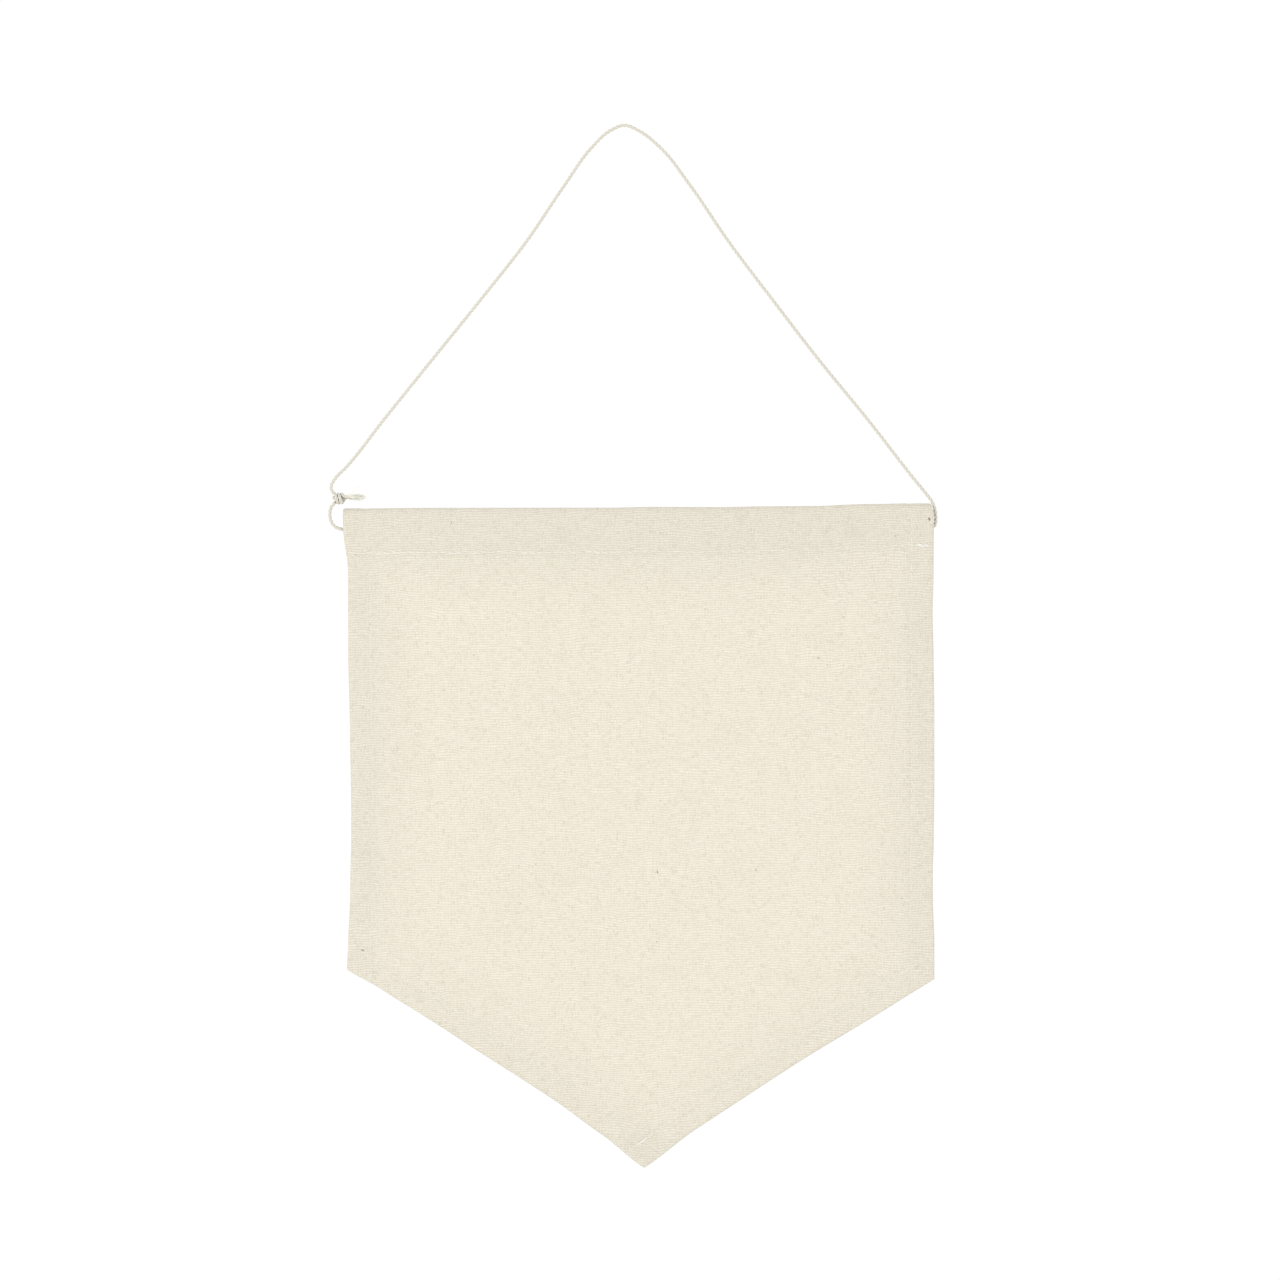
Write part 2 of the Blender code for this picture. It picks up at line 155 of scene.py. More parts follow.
# Millimetres from the knot's centre, and the tail's length
FRONT_TAIL = (Vector((1.95, -0.60, 0.70)) * MM, 2.4 * MM)
BACK_TAIL = (Vector((2.25, 0.65, 0.25)) * MM, 1.9 * MM)


def wind(first_angle):
    """Points of one end of the cord as it winds round the knot from its left to its right."""
    points = []
    for step in range(WIND_STEPS + 1):
        share = step / WIND_STEPS
        angle = first_angle + WIND_TURN * share
        swell = WIND_RADIUS * (1.0 + WIND_BELLY * math.sin(math.pi * share))
        turn = Vector((0.0, math.cos(angle), math.sin(angle))) * swell
        points.append(KNOT_CENTRE + Vector((WIND_START + WIND_LENGTH * share, 0.0, 0.0)) + turn)
    return points


def tail(root):
    """The two ends of a tail, which leaves the knot to the right."""
    start, length = root
    return [KNOT_CENTRE + start, KNOT_CENTRE + start + Vector((length, 0.0, 0.0))]


front_end = wind(math.pi / 2) + tail(FRONT_TAIL)
back_end = wind(-math.pi / 2) + tail(BACK_TAIL)
tied_route = front_end[::-1] + route[1:-1] + back_end
print("points with both ends wound:", len(tied_route))

# %% One smooth line through the points
RING_SPACING = 0.36 * MM
ROUTE_STEPS = 48


def smooth_line(points, steps):
    """Many points of a curve that passes through all the points without a corner."""
    ways = []
    for index, point in enumerate(points):
        arriving = point - points[max(index - 1, 0)]
        leaving = points[min(index + 1, len(points) - 1)] - point
        way = arriving.normalized() * leaving.length + leaving.normalized() * arriving.length
        if index in (0, len(points) - 1):
            way = arriving + leaving
        ways.append(way.normalized())
    fine = []
    for start, end, way_in, way_out in zip(points, points[1:], ways, ways[1:]):
        third = (end - start).length / 3
        fine += interpolate_bezier(start, start + way_in * third, end - way_out * third, end, steps)[:-1]
    return fine + [points[-1]]


def even_line(line, spacing):
    """The same line with its points at one even distance from each other."""
    line = np.array(line)
    lengths = np.linalg.norm(np.diff(line, axis=0), axis=1)
    distance = np.concatenate(([0.0], np.cumsum(lengths)))
    places = np.linspace(0.0, distance[-1], round(distance[-1] / spacing) + 1)
    return [Vector(point) for point in zip(*(np.interp(places, distance, line[:, k]) for k in range(3)))]


def line_length(line):
    """The length of a line of points."""
    return sum((after - before).length for before, after in zip(line, line[1:]))


cord_line = even_line(smooth_line(tied_route, ROUTE_STEPS), RING_SPACING)
CORD_LENGTH = line_length(cord_line)
print(f"the cord is {CORD_LENGTH / MM:.0f} mm long, in {len(cord_line)} rings")

# %% [markdown]
# ## A section that is swept along a line
#
# A curve with a bevel makes a plain round tube. This cord is three plies twisted together, and its outline
# against the white ground shows their slight waviness, so its section has three lobes and turns as it goes.
# The same small sweep also makes the sewing thread and the loose fibres, with a round section.

# %% Sweeping a section along a line
def new_shape():
    """Lists that collect the points, faces and one painted value per point of a mesh."""
    return {"points": [], "faces": [], "values": []}


def frames_along(line):
    """For each point the way on, and two directions across it that turn no more than they must."""
    across = None
    for index, point in enumerate(line):
        way = (line[min(index + 1, len(line) - 1)] - line[max(index - 1, 0)]).normalized()
        across = way.orthogonal() if across is None else across - way * across.dot(way)
        across.normalize()
        yield point, across, way.cross(across)


def sweep(shape, line, section_at):
    """Add a closed tube: section_at gives rows of (across, up, value) for each point's number."""
    start = len(shape["points"])
    for index, (point, across, up) in enumerate(frames_along(line)):
        section = section_at(index)
        for sideways, upwards, value in section:
            shape["points"].append(point + across * sideways + up * upwards)
            shape["values"].append(value)
    sides = len(section)
    for ring in range(len(line) - 1):
        low = start + ring * sides
        for side in range(sides):
            after = (side + 1) % sides
            shape["faces"].append((low + side, low + after, low + sides + after, low + sides + side))
    last = start + (len(line) - 1) * sides
    # Both ends are closed with one flat face, the first one turned round so that it looks outwards
    shape["faces"].append(tuple(range(start + sides - 1, start - 1, -1)))
    shape["faces"].append(tuple(range(last, last + sides)))


# %% From lists to an object
def make_object(name, shape, value_name):
    """Turn the collected lists into an object that is shaded smooth."""
    mesh = bpy.data.meshes.new(name)
    mesh.from_pydata([tuple(point) for point in shape["points"]], [], shape["faces"])
    painted = mesh.attributes.new(value_name, "FLOAT", "POINT")
    painted.data.foreach_set("value", shape["values"])
    mesh.shade_smooth()
    thing = bpy.data.objects.new(name, mesh)
    bpy.context.scene.collection.objects.link(thing)
    triangles = sum(len(face) - 2 for face in shape["faces"])
    print(f"{name}: {triangles} triangles")
    return thing


# %% The three plies of the cord
CORD_DIAMETER = 1.2 * MM
PLY_RADIUS = 0.33 * MM
PLY_CENTRE = 0.27 * MM
PLIES = 3
CORD_SIDES = 18
TWIST_LENGTH = 4.6 * MM


def lobe_radius(angle):
    """How far the outline of the twisted plies is from the cord's middle, at an angle."""
    width = 2 * math.pi / PLIES
    beside = (angle + width / 2) % width - width / 2
    return PLY_CENTRE * math.cos(beside) + math.sqrt(PLY_RADIUS**2 - (PLY_CENTRE * math.sin(beside)) ** 2)


GROOVE_RADIUS = lobe_radius(math.pi / PLIES)
print(f"the twisted plies are {2 * (PLY_CENTRE + PLY_RADIUS) / MM:.2f} mm thick at most")


def plied_section(index, spacing, size):
    """One ring of the cord's outline. Its value is 0 in a groove and 1 on a ply."""
    twist = 2 * math.pi * index * spacing / TWIST_LENGTH
    rows = []
    for side in range(CORD_SIDES):
        angle = 2 * math.pi * side / CORD_SIDES
        radius = lobe_radius(angle - twist)
        value = (radius - GROOVE_RADIUS) / (CORD_DIAMETER / 2 - GROOVE_RADIUS)
        rows.append((math.cos(angle) * radius * size, math.sin(angle) * radius * size, value))
    return rows


# %% The cord's own mesh
OPEN_END = 1.3 * MM
OPEN_SIZE = 0.45


def end_size(index, rings):
    """The cord's size at a ring: it thins where its ends open into loose fibres."""
    from_end = min(index, rings - 1 - index) * RING_SPACING / OPEN_END
    return OPEN_SIZE + (1.0 - OPEN_SIZE) * math.sin(math.pi / 2 * min(1.0, from_end))


def add_lay(thing, rings):
    """Store places that turn with the plies, so that noise can run along them as spun fibres do."""
    ring, side = np.divmod(np.arange(rings * CORD_SIDES), CORD_SIDES)
    angle = 2 * math.pi * (side / CORD_SIDES - ring * RING_SPACING / TWIST_LENGTH)
    lay = np.stack([np.cos(angle), np.sin(angle), ring * RING_SPACING / CORD_DIAMETER], axis=1)
    thing.data.attributes.new("lay", "FLOAT_VECTOR", "POINT").data.foreach_set("vector", lay.ravel())


def cord_section(index):
    """The plied section at a ring of the cord."""
    return plied_section(index, RING_SPACING, end_size(index, len(cord_line)))


cord_shape = new_shape()
sweep(cord_shape, cord_line, cord_section)
cord = make_object("twisted_cord", cord_shape, "ply")
add_lay(cord, len(cord_line))

# %% [markdown]
# ## Inside the knot
#
# Seen from the left end, the windings would be hollow. In a real knot the cord passes back through its own
# windings, and a small bight of it shows there. One short stretch of the same cord fills the middle.

# %% The stretch that passes through the windings
THROUGH_KNOT = (
    (1.3, -0.3, -0.45),
    (0.0, -0.35, -0.35),
    (-1.3, -0.3, -0.15),
    (-2.0, 0.15, 0.25),
    (-1.3, 0.45, 0.50),
    (0.2, 0.4, 0.25),
    (1.5, 0.3, 0.0),
)
THROUGH_STEPS = 16
# The stretch is squeezed a little between the windings
SQUEEZED = 0.9
through_points = [KNOT_CENTRE + Vector(point) * MM for point in THROUGH_KNOT]
through_line = even_line(smooth_line(through_points, THROUGH_STEPS), RING_SPACING)
through_shape = new_shape()
sweep(through_shape, through_line, lambda index: plied_section(index, RING_SPACING, SQUEEZED))
knot_middle = make_object("knot_middle", through_shape, "ply")
add_lay(knot_middle, len(through_line))

# %% [markdown]
# ## The frayed ends
#
# Past the knot each tail opens into its yarns, and the yarns into loose fibres. Hair particles could make
# them, but about 160 thin tapered tubes do it with full control: one wisp stands up, as in the photo, and
# the rest spread like a small brush.

# %% One loose fibre
FIBRE_STEPS = 8
FIBRE_SIDES = 5
FIBRE_RADIUS = 0.075 * MM
FIBRE_TIP = 0.5
# Millimetres: how deep in its tail a fibre starts, how far from the tail's middle, and how uneven its curl is
FIBRE_ROOT_DEPTH = (1.0, 2.3)
FIBRE_ROOT_RADIUS = (0.05, 0.26)
CURL = 0.16
CURL_TURN = 4.5
dice = random.Random(7)


def round_section(radius, sides, value):
    """A plain round section."""
    turns = [2 * math.pi * side / sides for side in range(sides)]
    return [(math.cos(turn) * radius, math.sin(turn) * radius, value) for turn in turns]


def sideways(turn):
    """The way out from a tail's middle at an angle."""
    return Vector((0.0, math.cos(turn), math.sin(turn)))


def uneven_sideways(amount):
    """A random move across a tail, in millimetres."""
    return Vector((0.0, dice.gauss(0.0, amount), dice.gauss(0.0, amount))) * MM


def fibre_line(root, turn, reach, opening, ease):
    """A fibre that starts inside its tail and eases away from it, a little curled."""
    tail_start, tail_length = root
    inside = Vector((tail_length - dice.uniform(*FIBRE_ROOT_DEPTH) * MM, 0.0, 0.0))
    start = KNOT_CENTRE + tail_start + inside + sideways(turn) * dice.uniform(*FIBRE_ROOT_RADIUS) * MM
    curl = uneven_sideways(CURL)
    curl_start = dice.uniform(0.0, 2 * math.pi)
    points = []
    for step in range(FIBRE_STEPS + 1):
        share = step / FIBRE_STEPS
        away = opening * ease(share) + curl * math.sin(curl_start + CURL_TURN * share) * share
        points.append(start + Vector((reach * share, 0.0, 0.0)) + away)
    return points


def taper(index):
    """The section of a fibre, thinner towards its tip."""
    return round_section(FIBRE_RADIUS * (1.0 - FIBRE_TIP * index / FIBRE_STEPS), FIBRE_SIDES, 1.0)


print(f"a loose fibre is {2 * FIBRE_RADIUS / MM:.2f} mm thick at its root")

# %% The brush at each tail, and the wisp
BUNDLES = 4
BUNDLE_FIBRES = 20
BUNDLE_SPREAD = 0.32 * MM
FIRST_BUNDLE = 0.5
BRUSH_LENGTH = 6.3 * MM
BRUSH_LENGTHS = (0.74, 1.02)
# The brush swells like part of a half circle and closes a little at its tip, in radians
BRUSH_SWELL = 2.15
BRUSH_BENDS = (0.7, 1.3)
LOOSE = 0.27
# How far to the right, to the back and up the wisp's fibres reach, in millimetres
WISP = (
    (4.1, -0.2, 3.6),
    (4.4, -0.3, 3.3),
    (3.8, -0.1, 3.5),
    (3.9, 0.0, 3.9),
    (4.2, 0.1, 3.4),
    (3.6, -0.2, 3.2),
)
WISP_BEND = 1.35

fray_shape = new_shape()
for root in (FRONT_TAIL, BACK_TAIL):
    for bundle in range(BUNDLES):
        turn = 2 * math.pi * bundle / BUNDLES + FIRST_BUNDLE
        for fibre in range(BUNDLE_FIBRES):
            reach = BRUSH_LENGTH * dice.uniform(*BRUSH_LENGTHS)
            opening = sideways(turn) * BUNDLE_SPREAD + uneven_sideways(LOOSE)
            bend = dice.uniform(*BRUSH_BENDS)
            line = fibre_line(root, turn, reach, opening, lambda share: math.sin(BRUSH_SWELL * share) ** bend)
            sweep(fray_shape, line, taper)
for right, back, up in WISP:
    lift = Vector((0.0, back, up)) * MM
    line = fibre_line(FRONT_TAIL, math.pi / 2, right * MM, lift, lambda share: share**WISP_BEND)
    sweep(fray_shape, line, taper)
frayed_ends = make_object("frayed_ends", fray_shape, "ply")

# %% [markdown]
# ## Cotton down on the cord
#
# Close to, a cotton cord has a thin down of fibre ends. At this size each is thinner than a pixel, but
# together they soften the outline. They are short curved hairs with three sides, rooted in the plies.

# %% Short hairs along the cord
HAIRS = 620
HAIR_STEPS = 4
HAIR_SIDES = 3
HAIR_RADIUS = 0.016 * MM
HAIR_ROOT = 0.42 * MM
# Millimetres that a hair reaches out, how much it leans to one side, and how late it bends
HAIR_REACH = (0.25, 0.95)
HAIR_SIDE_LEAN = 0.4
HAIR_BEND = 1.7
# A hair's size at its root, from which it loses 1 on its way to the tip
HAIR_ROOT_SIZE = 1.15
# Rings at both ends of the cord that have no hairs
RINGS_AT_ENDS = 4


def hair_section(step):
    """A hair's section, thinner towards its tip."""
    return round_section(HAIR_RADIUS * (HAIR_ROOT_SIZE - step / HAIR_STEPS), HAIR_SIDES, 1.0)


hair_shape = new_shape()
for hair in range(HAIRS):
    index = dice.randrange(RINGS_AT_ENDS, len(cord_line) - RINGS_AT_ENDS)
    way = (cord_line[index + 1] - cord_line[index - 1]).normalized()
    turn = Matrix.Rotation(dice.uniform(0.0, 2 * math.pi), 3, way)
    out = turn @ way.orthogonal().normalized()
    lean = way * dice.uniform(-1.0, 1.0) + turn @ out.cross(way) * HAIR_SIDE_LEAN
    reach = dice.uniform(*HAIR_REACH) * MM
    line = []
    for step in range(HAIR_STEPS + 1):
        share = step / HAIR_STEPS
        line.append(cord_line[index] + out * (HAIR_ROOT + reach * share) + lean * reach * share**HAIR_BEND)
    sweep(hair_shape, line, hair_section)
cord_down = make_object("cord_down", hair_shape, "ply")

# %% [markdown]
# ## Nodes without clutter
#
# A material is a small graph. These helpers add one node each and hand back its output, so that the finishes
# below read almost like formulas.

# %% Helpers for material nodes
def new_material(name):
    """A node material, its tree and its main shader."""
    material = bpy.data.materials.new(name)
    material.use_nodes = True
    tree = material.node_tree
    return material, tree, tree.nodes["Principled BSDF"]


def feed(tree, socket, value):
    """Set a socket to a constant, or link it to another node's output."""
    if isinstance(value, bpy.types.NodeSocket):
        tree.links.new(value, socket)
    else:
        socket.default_value = value


# %% Helpers that calculate
def calc(tree, operation, first, second=0.0, clamp=False):
    """One math node."""
    node = tree.nodes.new("ShaderNodeMath")
    node.operation = operation
    node.use_clamp = clamp
    feed(tree, node.inputs[0], first)
    feed(tree, node.inputs[1], second)
    return node.outputs[0]


def scale_and_add(tree, value, factor, added):
    """A value times a factor, plus another value."""
    total = calc(tree, "MULTIPLY_ADD", value, factor)
    feed(tree, total.node.inputs[2], added)
    return total


def spread(tree, value, low, high, new_low, new_high):
    """Map a range of values to another range, held at its ends."""
    node = tree.nodes.new("ShaderNodeMapRange")
    for socket, amount in zip(node.inputs, (value, low, high, new_low, new_high)):
        feed(tree, socket, amount)
    return node.outputs[0]


# %% Helpers for places and noise
def join_place(tree, across, along, level=0.0):
    """A place from three numbers."""
    node = tree.nodes.new("ShaderNodeCombineXYZ")
    for socket, value in zip(node.inputs, (across, along, level)):
        feed(tree, socket, value)
    return node.outputs[0]


def object_place(tree):
    """Where a point lies, in metres."""
    return tree.nodes.new("ShaderNodeTexCoord").outputs["Object"]


def painted(tree, name, output):
    """A value or a place that is stored in the mesh."""
    node = tree.nodes.new("ShaderNodeAttribute")
    node.attribute_name = name
    return node.outputs[output]


def noise(tree, place, scale, detail=2.0, roughness=0.5):
    """Soft noise between 0 and 1."""
    node = tree.nodes.new("ShaderNodeTexNoise")
    feed(tree, node.inputs["Vector"], place)
    for name, value in (("Scale", scale), ("Detail", detail), ("Roughness", roughness)):
        feed(tree, node.inputs[name], value)
    return node.outputs["Fac"]


# %% Helpers that choose and blend
def choose(tree, factor, first, second):
    """The first value where the factor is 0, and the second where it is 1."""
    node = tree.nodes.new("ShaderNodeMix")
    for socket, value in zip((0, 2, 3), (factor, first, second)):
        feed(tree, node.inputs[socket], value)
    return node.outputs[0]


def choose_place(tree, factor, first, second):
    """The same choice between two places."""
    node = tree.nodes.new("ShaderNodeMix")
    node.data_type = "VECTOR"
    for socket, value in zip((0, 4, 5), (factor, first, second)):
        feed(tree, node.inputs[socket], value)
    return node.outputs[1]


def blend_colour(tree, factor, first, second, kind="MIX"):
    """Mix two colours."""
    node = tree.nodes.new("ShaderNodeMix")
    node.data_type = "RGBA"
    node.blend_type = kind
    feed(tree, node.inputs[0], factor)
    feed(tree, node.inputs[6], first)
    feed(tree, node.inputs[7], second)
    return node.outputs[2]


# %% Helpers for relief and finish
def bump(tree, height, distance, strength=1.0):
    """Turn a height between 0 and 1 into bent normals."""
    node = tree.nodes.new("ShaderNodeBump")
    feed(tree, node.inputs["Strength"], strength)
    feed(tree, node.inputs["Distance"], distance)
    feed(tree, node.inputs["Height"], height)
    return node.outputs["Normal"]


def finish_surface(tree, shader, colour, roughness, specular, normal):
    """Give the main shader its colour, its gloss and its relief."""
    feed(tree, shader.inputs["Base Color"], colour)
    feed(tree, shader.inputs["Roughness"], roughness)
    feed(tree, shader.inputs["Specular IOR Level"], specular)
    feed(tree, shader.inputs["Normal"], normal)


# %% [markdown]
# ## The cord's finish
#
# Unbleached cotton is a warm off-white with no gloss. Less light goes into the grooves between the plies than
# onto them, so the painted ply value darkens them a little, and fine noise stands for the spun fibres. Each
# range below says from which to which value of the noise it reaches, and what these values become.

# %% Cotton cord
COTTON = (0.668, 0.645, 0.568, 1.0)
COTTON_GROOVE = (0.56, 0.53, 0.445, 1.0)
COTTON_SOILED = (0.50, 0.475, 0.40, 1.0)
# Spun fibres are about three times as long as they are wide in this noise
FIBRE_STRETCH = (1.0, 1.0, 0.32)
# Scale, detail and roughness of the noise
FIBRE_NOISE = (4.2, 3.0, 0.65)
MOTTLE_SCALE = 160.0
PLY_ROUNDNESS = 0.7
FIBRE_SHADE = (0.5, 0.3, 0.0, 0.35)
SOILING = (0.3, 0.7, 0.0, 0.10)
COTTON_ROUGHNESS = (0.2, 0.8, 0.78, 0.94)
COTTON_SPECULAR = 0.25
# Depth and strength of the relief
COTTON_RELIEF = (0.10 * MM, 0.9)
cotton, tree, shader = new_material("cotton_cord")
ply = painted(tree, "ply", "Fac")
stretch = tree.nodes.new("ShaderNodeVectorMath")
stretch.operation = "MULTIPLY"
feed(tree, stretch.inputs[0], painted(tree, "lay", "Vector"))
feed(tree, stretch.inputs[1], FIBRE_STRETCH)
fibres = noise(tree, stretch.outputs[0], *FIBRE_NOISE)
mottle = noise(tree, object_place(tree), MOTTLE_SCALE)
on_ply = calc(tree, "POWER", ply, PLY_ROUNDNESS, clamp=True)
on_ply = calc(tree, "SUBTRACT", on_ply, spread(tree, fibres, *FIBRE_SHADE), clamp=True)
tint = blend_colour(tree, on_ply, COTTON_GROOVE, COTTON)
tint = blend_colour(tree, spread(tree, mottle, *SOILING), tint, COTTON_SOILED)
finish_surface(tree, shader, tint, spread(tree, fibres, *COTTON_ROUGHNESS), COTTON_SPECULAR,
               bump(tree, fibres, *COTTON_RELIEF))
for piece in (cord, knot_middle):
    piece.data.materials.append(cotton)
print("cotton cord:", len(tree.nodes), "nodes")

# %% Loose cotton
# Paler than the cord's cotton: partly the paler loose fibres, partly painted light for the light that passes
# through fine fibres
LOOSE_COTTON = (0.79, 0.785, 0.70, 1.0)
LOOSE_COTTON_LIGHT = (0.86, 0.85, 0.77, 1.0)
LINT_SCALE = 2600.0
LINT_ROUGHNESS = 0.9
LINT_RELIEF = (0.02 * MM, 0.5)
loose_cotton, tree, shader = new_material("loose_cotton")
lint = noise(tree, object_place(tree), LINT_SCALE)
tint = blend_colour(tree, lint, LOOSE_COTTON, LOOSE_COTTON_LIGHT)
finish_surface(tree, shader, tint, LINT_ROUGHNESS, COTTON_SPECULAR, bump(tree, lint, *LINT_RELIEF))
for piece in (frayed_ends, cord_down):
    piece.data.materials.append(loose_cotton)
print("loose cotton:", len(tree.nodes), "nodes")

# %% The cord rides on the banner and stands for its plain solids
for piece in (cord, knot_middle, frayed_ends, cord_down):
    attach(piece, "root")
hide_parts("hanging_cord", "cord_knot")
[tuple(point) for point in cord_line[::3]]

# %% [markdown]
# ## The cloth's sizes
#
# The finished banner is 203 mm (8 in) wide, with a point near the middle of its lower edge. Its outline is
# that of the solid that it replaces, and its layers are as thin as real canvas. Each place on the cloth has
# three numbers: across from left to right, down from the top fold, and a height above the middle of its front
# layer, towards the inside of a fold.

# %% Outline and layers
BODY_WIDTH = 203.2 * MM
BODY_LEFT = -95.9 * MM
BODY_RIGHT = BODY_LEFT + BODY_WIDTH
TOP_Z = -132.2 * MM
LEFT_CORNER_Z = -292.2 * MM
RIGHT_CORNER_Z = -295.6 * MM
TIP_X = 6.8 * MM
TIP_Z = -361.2 * MM
HEM_WIDTH = 8.8 * MM
STITCH_INSET = 7.8 * MM
SEAM_DROP = 15.5 * MM
HEADER_END = 17.4 * MM
CLOTH_THICKNESS = 0.5 * MM
# From the middle of one layer to the middle of the next
LAYER = 0.54 * MM
HALF = CLOTH_THICKNESS / 2
# How far inside its edge a hem's fold starts to turn
FOLD_IN = HALF + LAYER
print(f"three layers of a hem are {(2 * LAYER + CLOTH_THICKNESS) / MM:.2f} mm thick")

# %% The two lower edges as lines
LEFT_SLOPE = (TIP_Z - LEFT_CORNER_Z) / (TIP_X - BODY_LEFT)
RIGHT_SLOPE = (TIP_Z - RIGHT_CORNER_Z) / (TIP_X - BODY_RIGHT)
LEFT_COSINE = math.cos(math.atan(LEFT_SLOPE))
RIGHT_COSINE = math.cos(math.atan(RIGHT_SLOPE))


def left_foot(x, inset):
    """Height of the line that runs inside the left lower edge at an inset."""
    return LEFT_CORNER_Z + LEFT_SLOPE * (x - BODY_LEFT) + inset / LEFT_COSINE


def right_foot(x, inset):
    """Height of the line that runs inside the right lower edge at an inset."""
    return RIGHT_CORNER_Z + RIGHT_SLOPE * (x - BODY_RIGHT) + inset / RIGHT_COSINE


def lower_insets(x, z):
    """How far a place lies inside the left and inside the right lower edge."""
    left = (z - LEFT_CORNER_Z - LEFT_SLOPE * (x - BODY_LEFT)) * LEFT_COSINE
    right = (z - RIGHT_CORNER_Z - RIGHT_SLOPE * (x - BODY_RIGHT)) * RIGHT_COSINE
    return left, right


def lower_inset(x, z):
    """How far a place lies inside the nearer lower edge."""
    return np.minimum(*lower_insets(x, z))


print(f"the lower edges fall by {-LEFT_SLOPE:.2f} and {RIGHT_SLOPE:.2f} of their width")

# %% [markdown]
# ## How it hangs
#
# No sewn cloth is quite true. The top fold rises a little to the right, the sides sway where the header pulls
# on them, the lower edges are drawn in, a broad shallow roll grows below the header and the tip curls towards
# the front. The solid is moved by formulas of this kind too. The tables here follow the photo's edges in more
# rows than its own do, so the cloth's edge lies up to 1.3 mm beside the solid's.

# %% How far the top fold and the header's seam rise
# Millimetres across from the nail, and how far the top fold rises there
TOP_EDGE_RISE = (
    (-90.0, -0.12),
    (-70.0, 0.08),
    (-5.0, 0.15),
    (10.0, 0.42),
    (33.0, 0.34),
    (50.0, 0.62),
    (66.0, 0.74),
    (84.0, 1.40),
    (100.0, 1.62),
)
RISE_REACH = 70.0 * MM
# Millimetres across, and how much nearer to the fold the header's seam lies there
SEAM_RISE = ((45.0, 0.0), (60.0, 0.45), (83.0, 0.75), (100.0, 1.30))
SEAM_RISE_REACH = 12.0 * MM
print("the top fold is highest at", max(TOP_EDGE_RISE, key=lambda row: row[1])[0], "mm across")

# %% How far the sides sway
# Millimetres down from the top fold, and how far a side is shifted to the right there
LEFT_SIDE_SWAY = (
    (0.0, -1.8),
    (6.0, -1.7),
    (22.5, -0.05),
    (50.0, 0.05),
    (78.0, 0.70),
    (98.0, 1.05),
    (112.0, 1.17),
    (134.0, 0.80),
    (151.0, 0.12),
    (160.0, -0.3),
)
RIGHT_SIDE_SWAY = (
    (0.0, -0.9),
    (1.2, -0.6),
    (3.6, 0.0),
    (10.0, 0.05),
    (24.0, 0.0),
    (37.0, -0.32),
    (52.0, 0.0),
    (72.0, 0.24),
    (98.0, 0.25),
    (114.0, 0.05),
    (127.0, -0.30),
    (136.0, -0.25),
    (150.0, 0.25),
)
SWAY_REACH = 28.0 * MM
print("the left side sways by up to", max(amount for place, amount in LEFT_SIDE_SWAY), "mm to the right")

# %% How far the lower edges are drawn in, and the broad roll
# Millimetres along a lower edge from its corner, and how far the edge is drawn in there
LEFT_DRAW_IN = ((0.0, 0.0), (14.0, 0.90), (40.0, 1.50), (85.0, 2.20), (104.0, 1.50), (123.0, 0.0))
RIGHT_DRAW_IN = ((0.0, 0.0), (14.0, 0.25), (60.0, 1.42), (97.0, 1.37), (119.0, 0.0))
ROLL_DEPTH = 1.5 * MM
ROLL_LENGTH = 236.0 * MM
ROLL_START = -38.0 * MM
ROLL_FALL = 95.0 * MM
SIDE_LEAN = 0.9 * MM
TIP_CURL = 1.9 * MM
TIP_CURL_REACH = 78.0 * MM
print("the left edge is drawn in by", max(amount for place, amount in LEFT_DRAW_IN), "mm at most")


# %% Reading the tables with soft steps
def smooth(share):
    """Ease from 0 to 1 with level ends."""
    share = np.clip(share, 0.0, 1.0)
    return share * share * (3.0 - 2.0 * share)


def along(table, place):
    """Read a table of (place, amount) rows in millimetres, easing from row to row."""
    place = np.asarray(place) / MM
    amount = np.full(place.shape, table[0][1])
    for (start, low), (end, high) in zip(table, table[1:]):
        amount = np.where(place > start, low + (high - low) * smooth((place - start) / (end - start)), amount)
    return amount * MM


def edge_share(distance, reach):
    """1 on an edge, easing to 0 at a distance inside it."""
    return 1.0 - smooth(distance / reach)


print(f"the top fold rises {float(along(TOP_EDGE_RISE, 75.0 * MM)) / MM:.2f} mm at 75 mm to the right")


# %% All the moves together
def draw_in(x, z):
    """How far the two lower edges pull a place into the panel, across and up."""
    pull_x, pull_z = np.zeros_like(x), np.zeros_like(z)
    for corner_x, corner_z, table in (
        (BODY_LEFT, LEFT_CORNER_Z, LEFT_DRAW_IN),
        (BODY_RIGHT, RIGHT_CORNER_Z, RIGHT_DRAW_IN),
    ):
        way_x, way_z = TIP_X - corner_x, TIP_Z - corner_z
        length = math.hypot(way_x, way_z)
        from_corner = ((x - corner_x) * way_x + (z - corner_z) * way_z) / length
        side = math.copysign(1.0, way_x)
        in_x, in_z = -side * way_z / length, side * way_x / length
        away = (x - corner_x) * in_x + (z - corner_z) * in_z
        pull = along(table, from_corner) * edge_share(away, SWAY_REACH)
        pull_x = pull_x + in_x * pull
        pull_z = pull_z + in_z * pull
    return pull_x, pull_z


def depth_of_hang(x, z):
    """How far the hanging cloth leaves its flat plane at a place, towards the back."""
    fall = smooth((TOP_Z - HEADER_END - z) / ROLL_FALL)
    roll = ROLL_DEPTH * np.sin(2 * math.pi * (x - ROLL_START) / ROLL_LENGTH)
    lean = SIDE_LEAN * (x - TIP_X) / BODY_WIDTH
    curl = TIP_CURL * smooth(1.0 - (z - TIP_Z) / TIP_CURL_REACH)
    return fall * (roll + lean) - curl


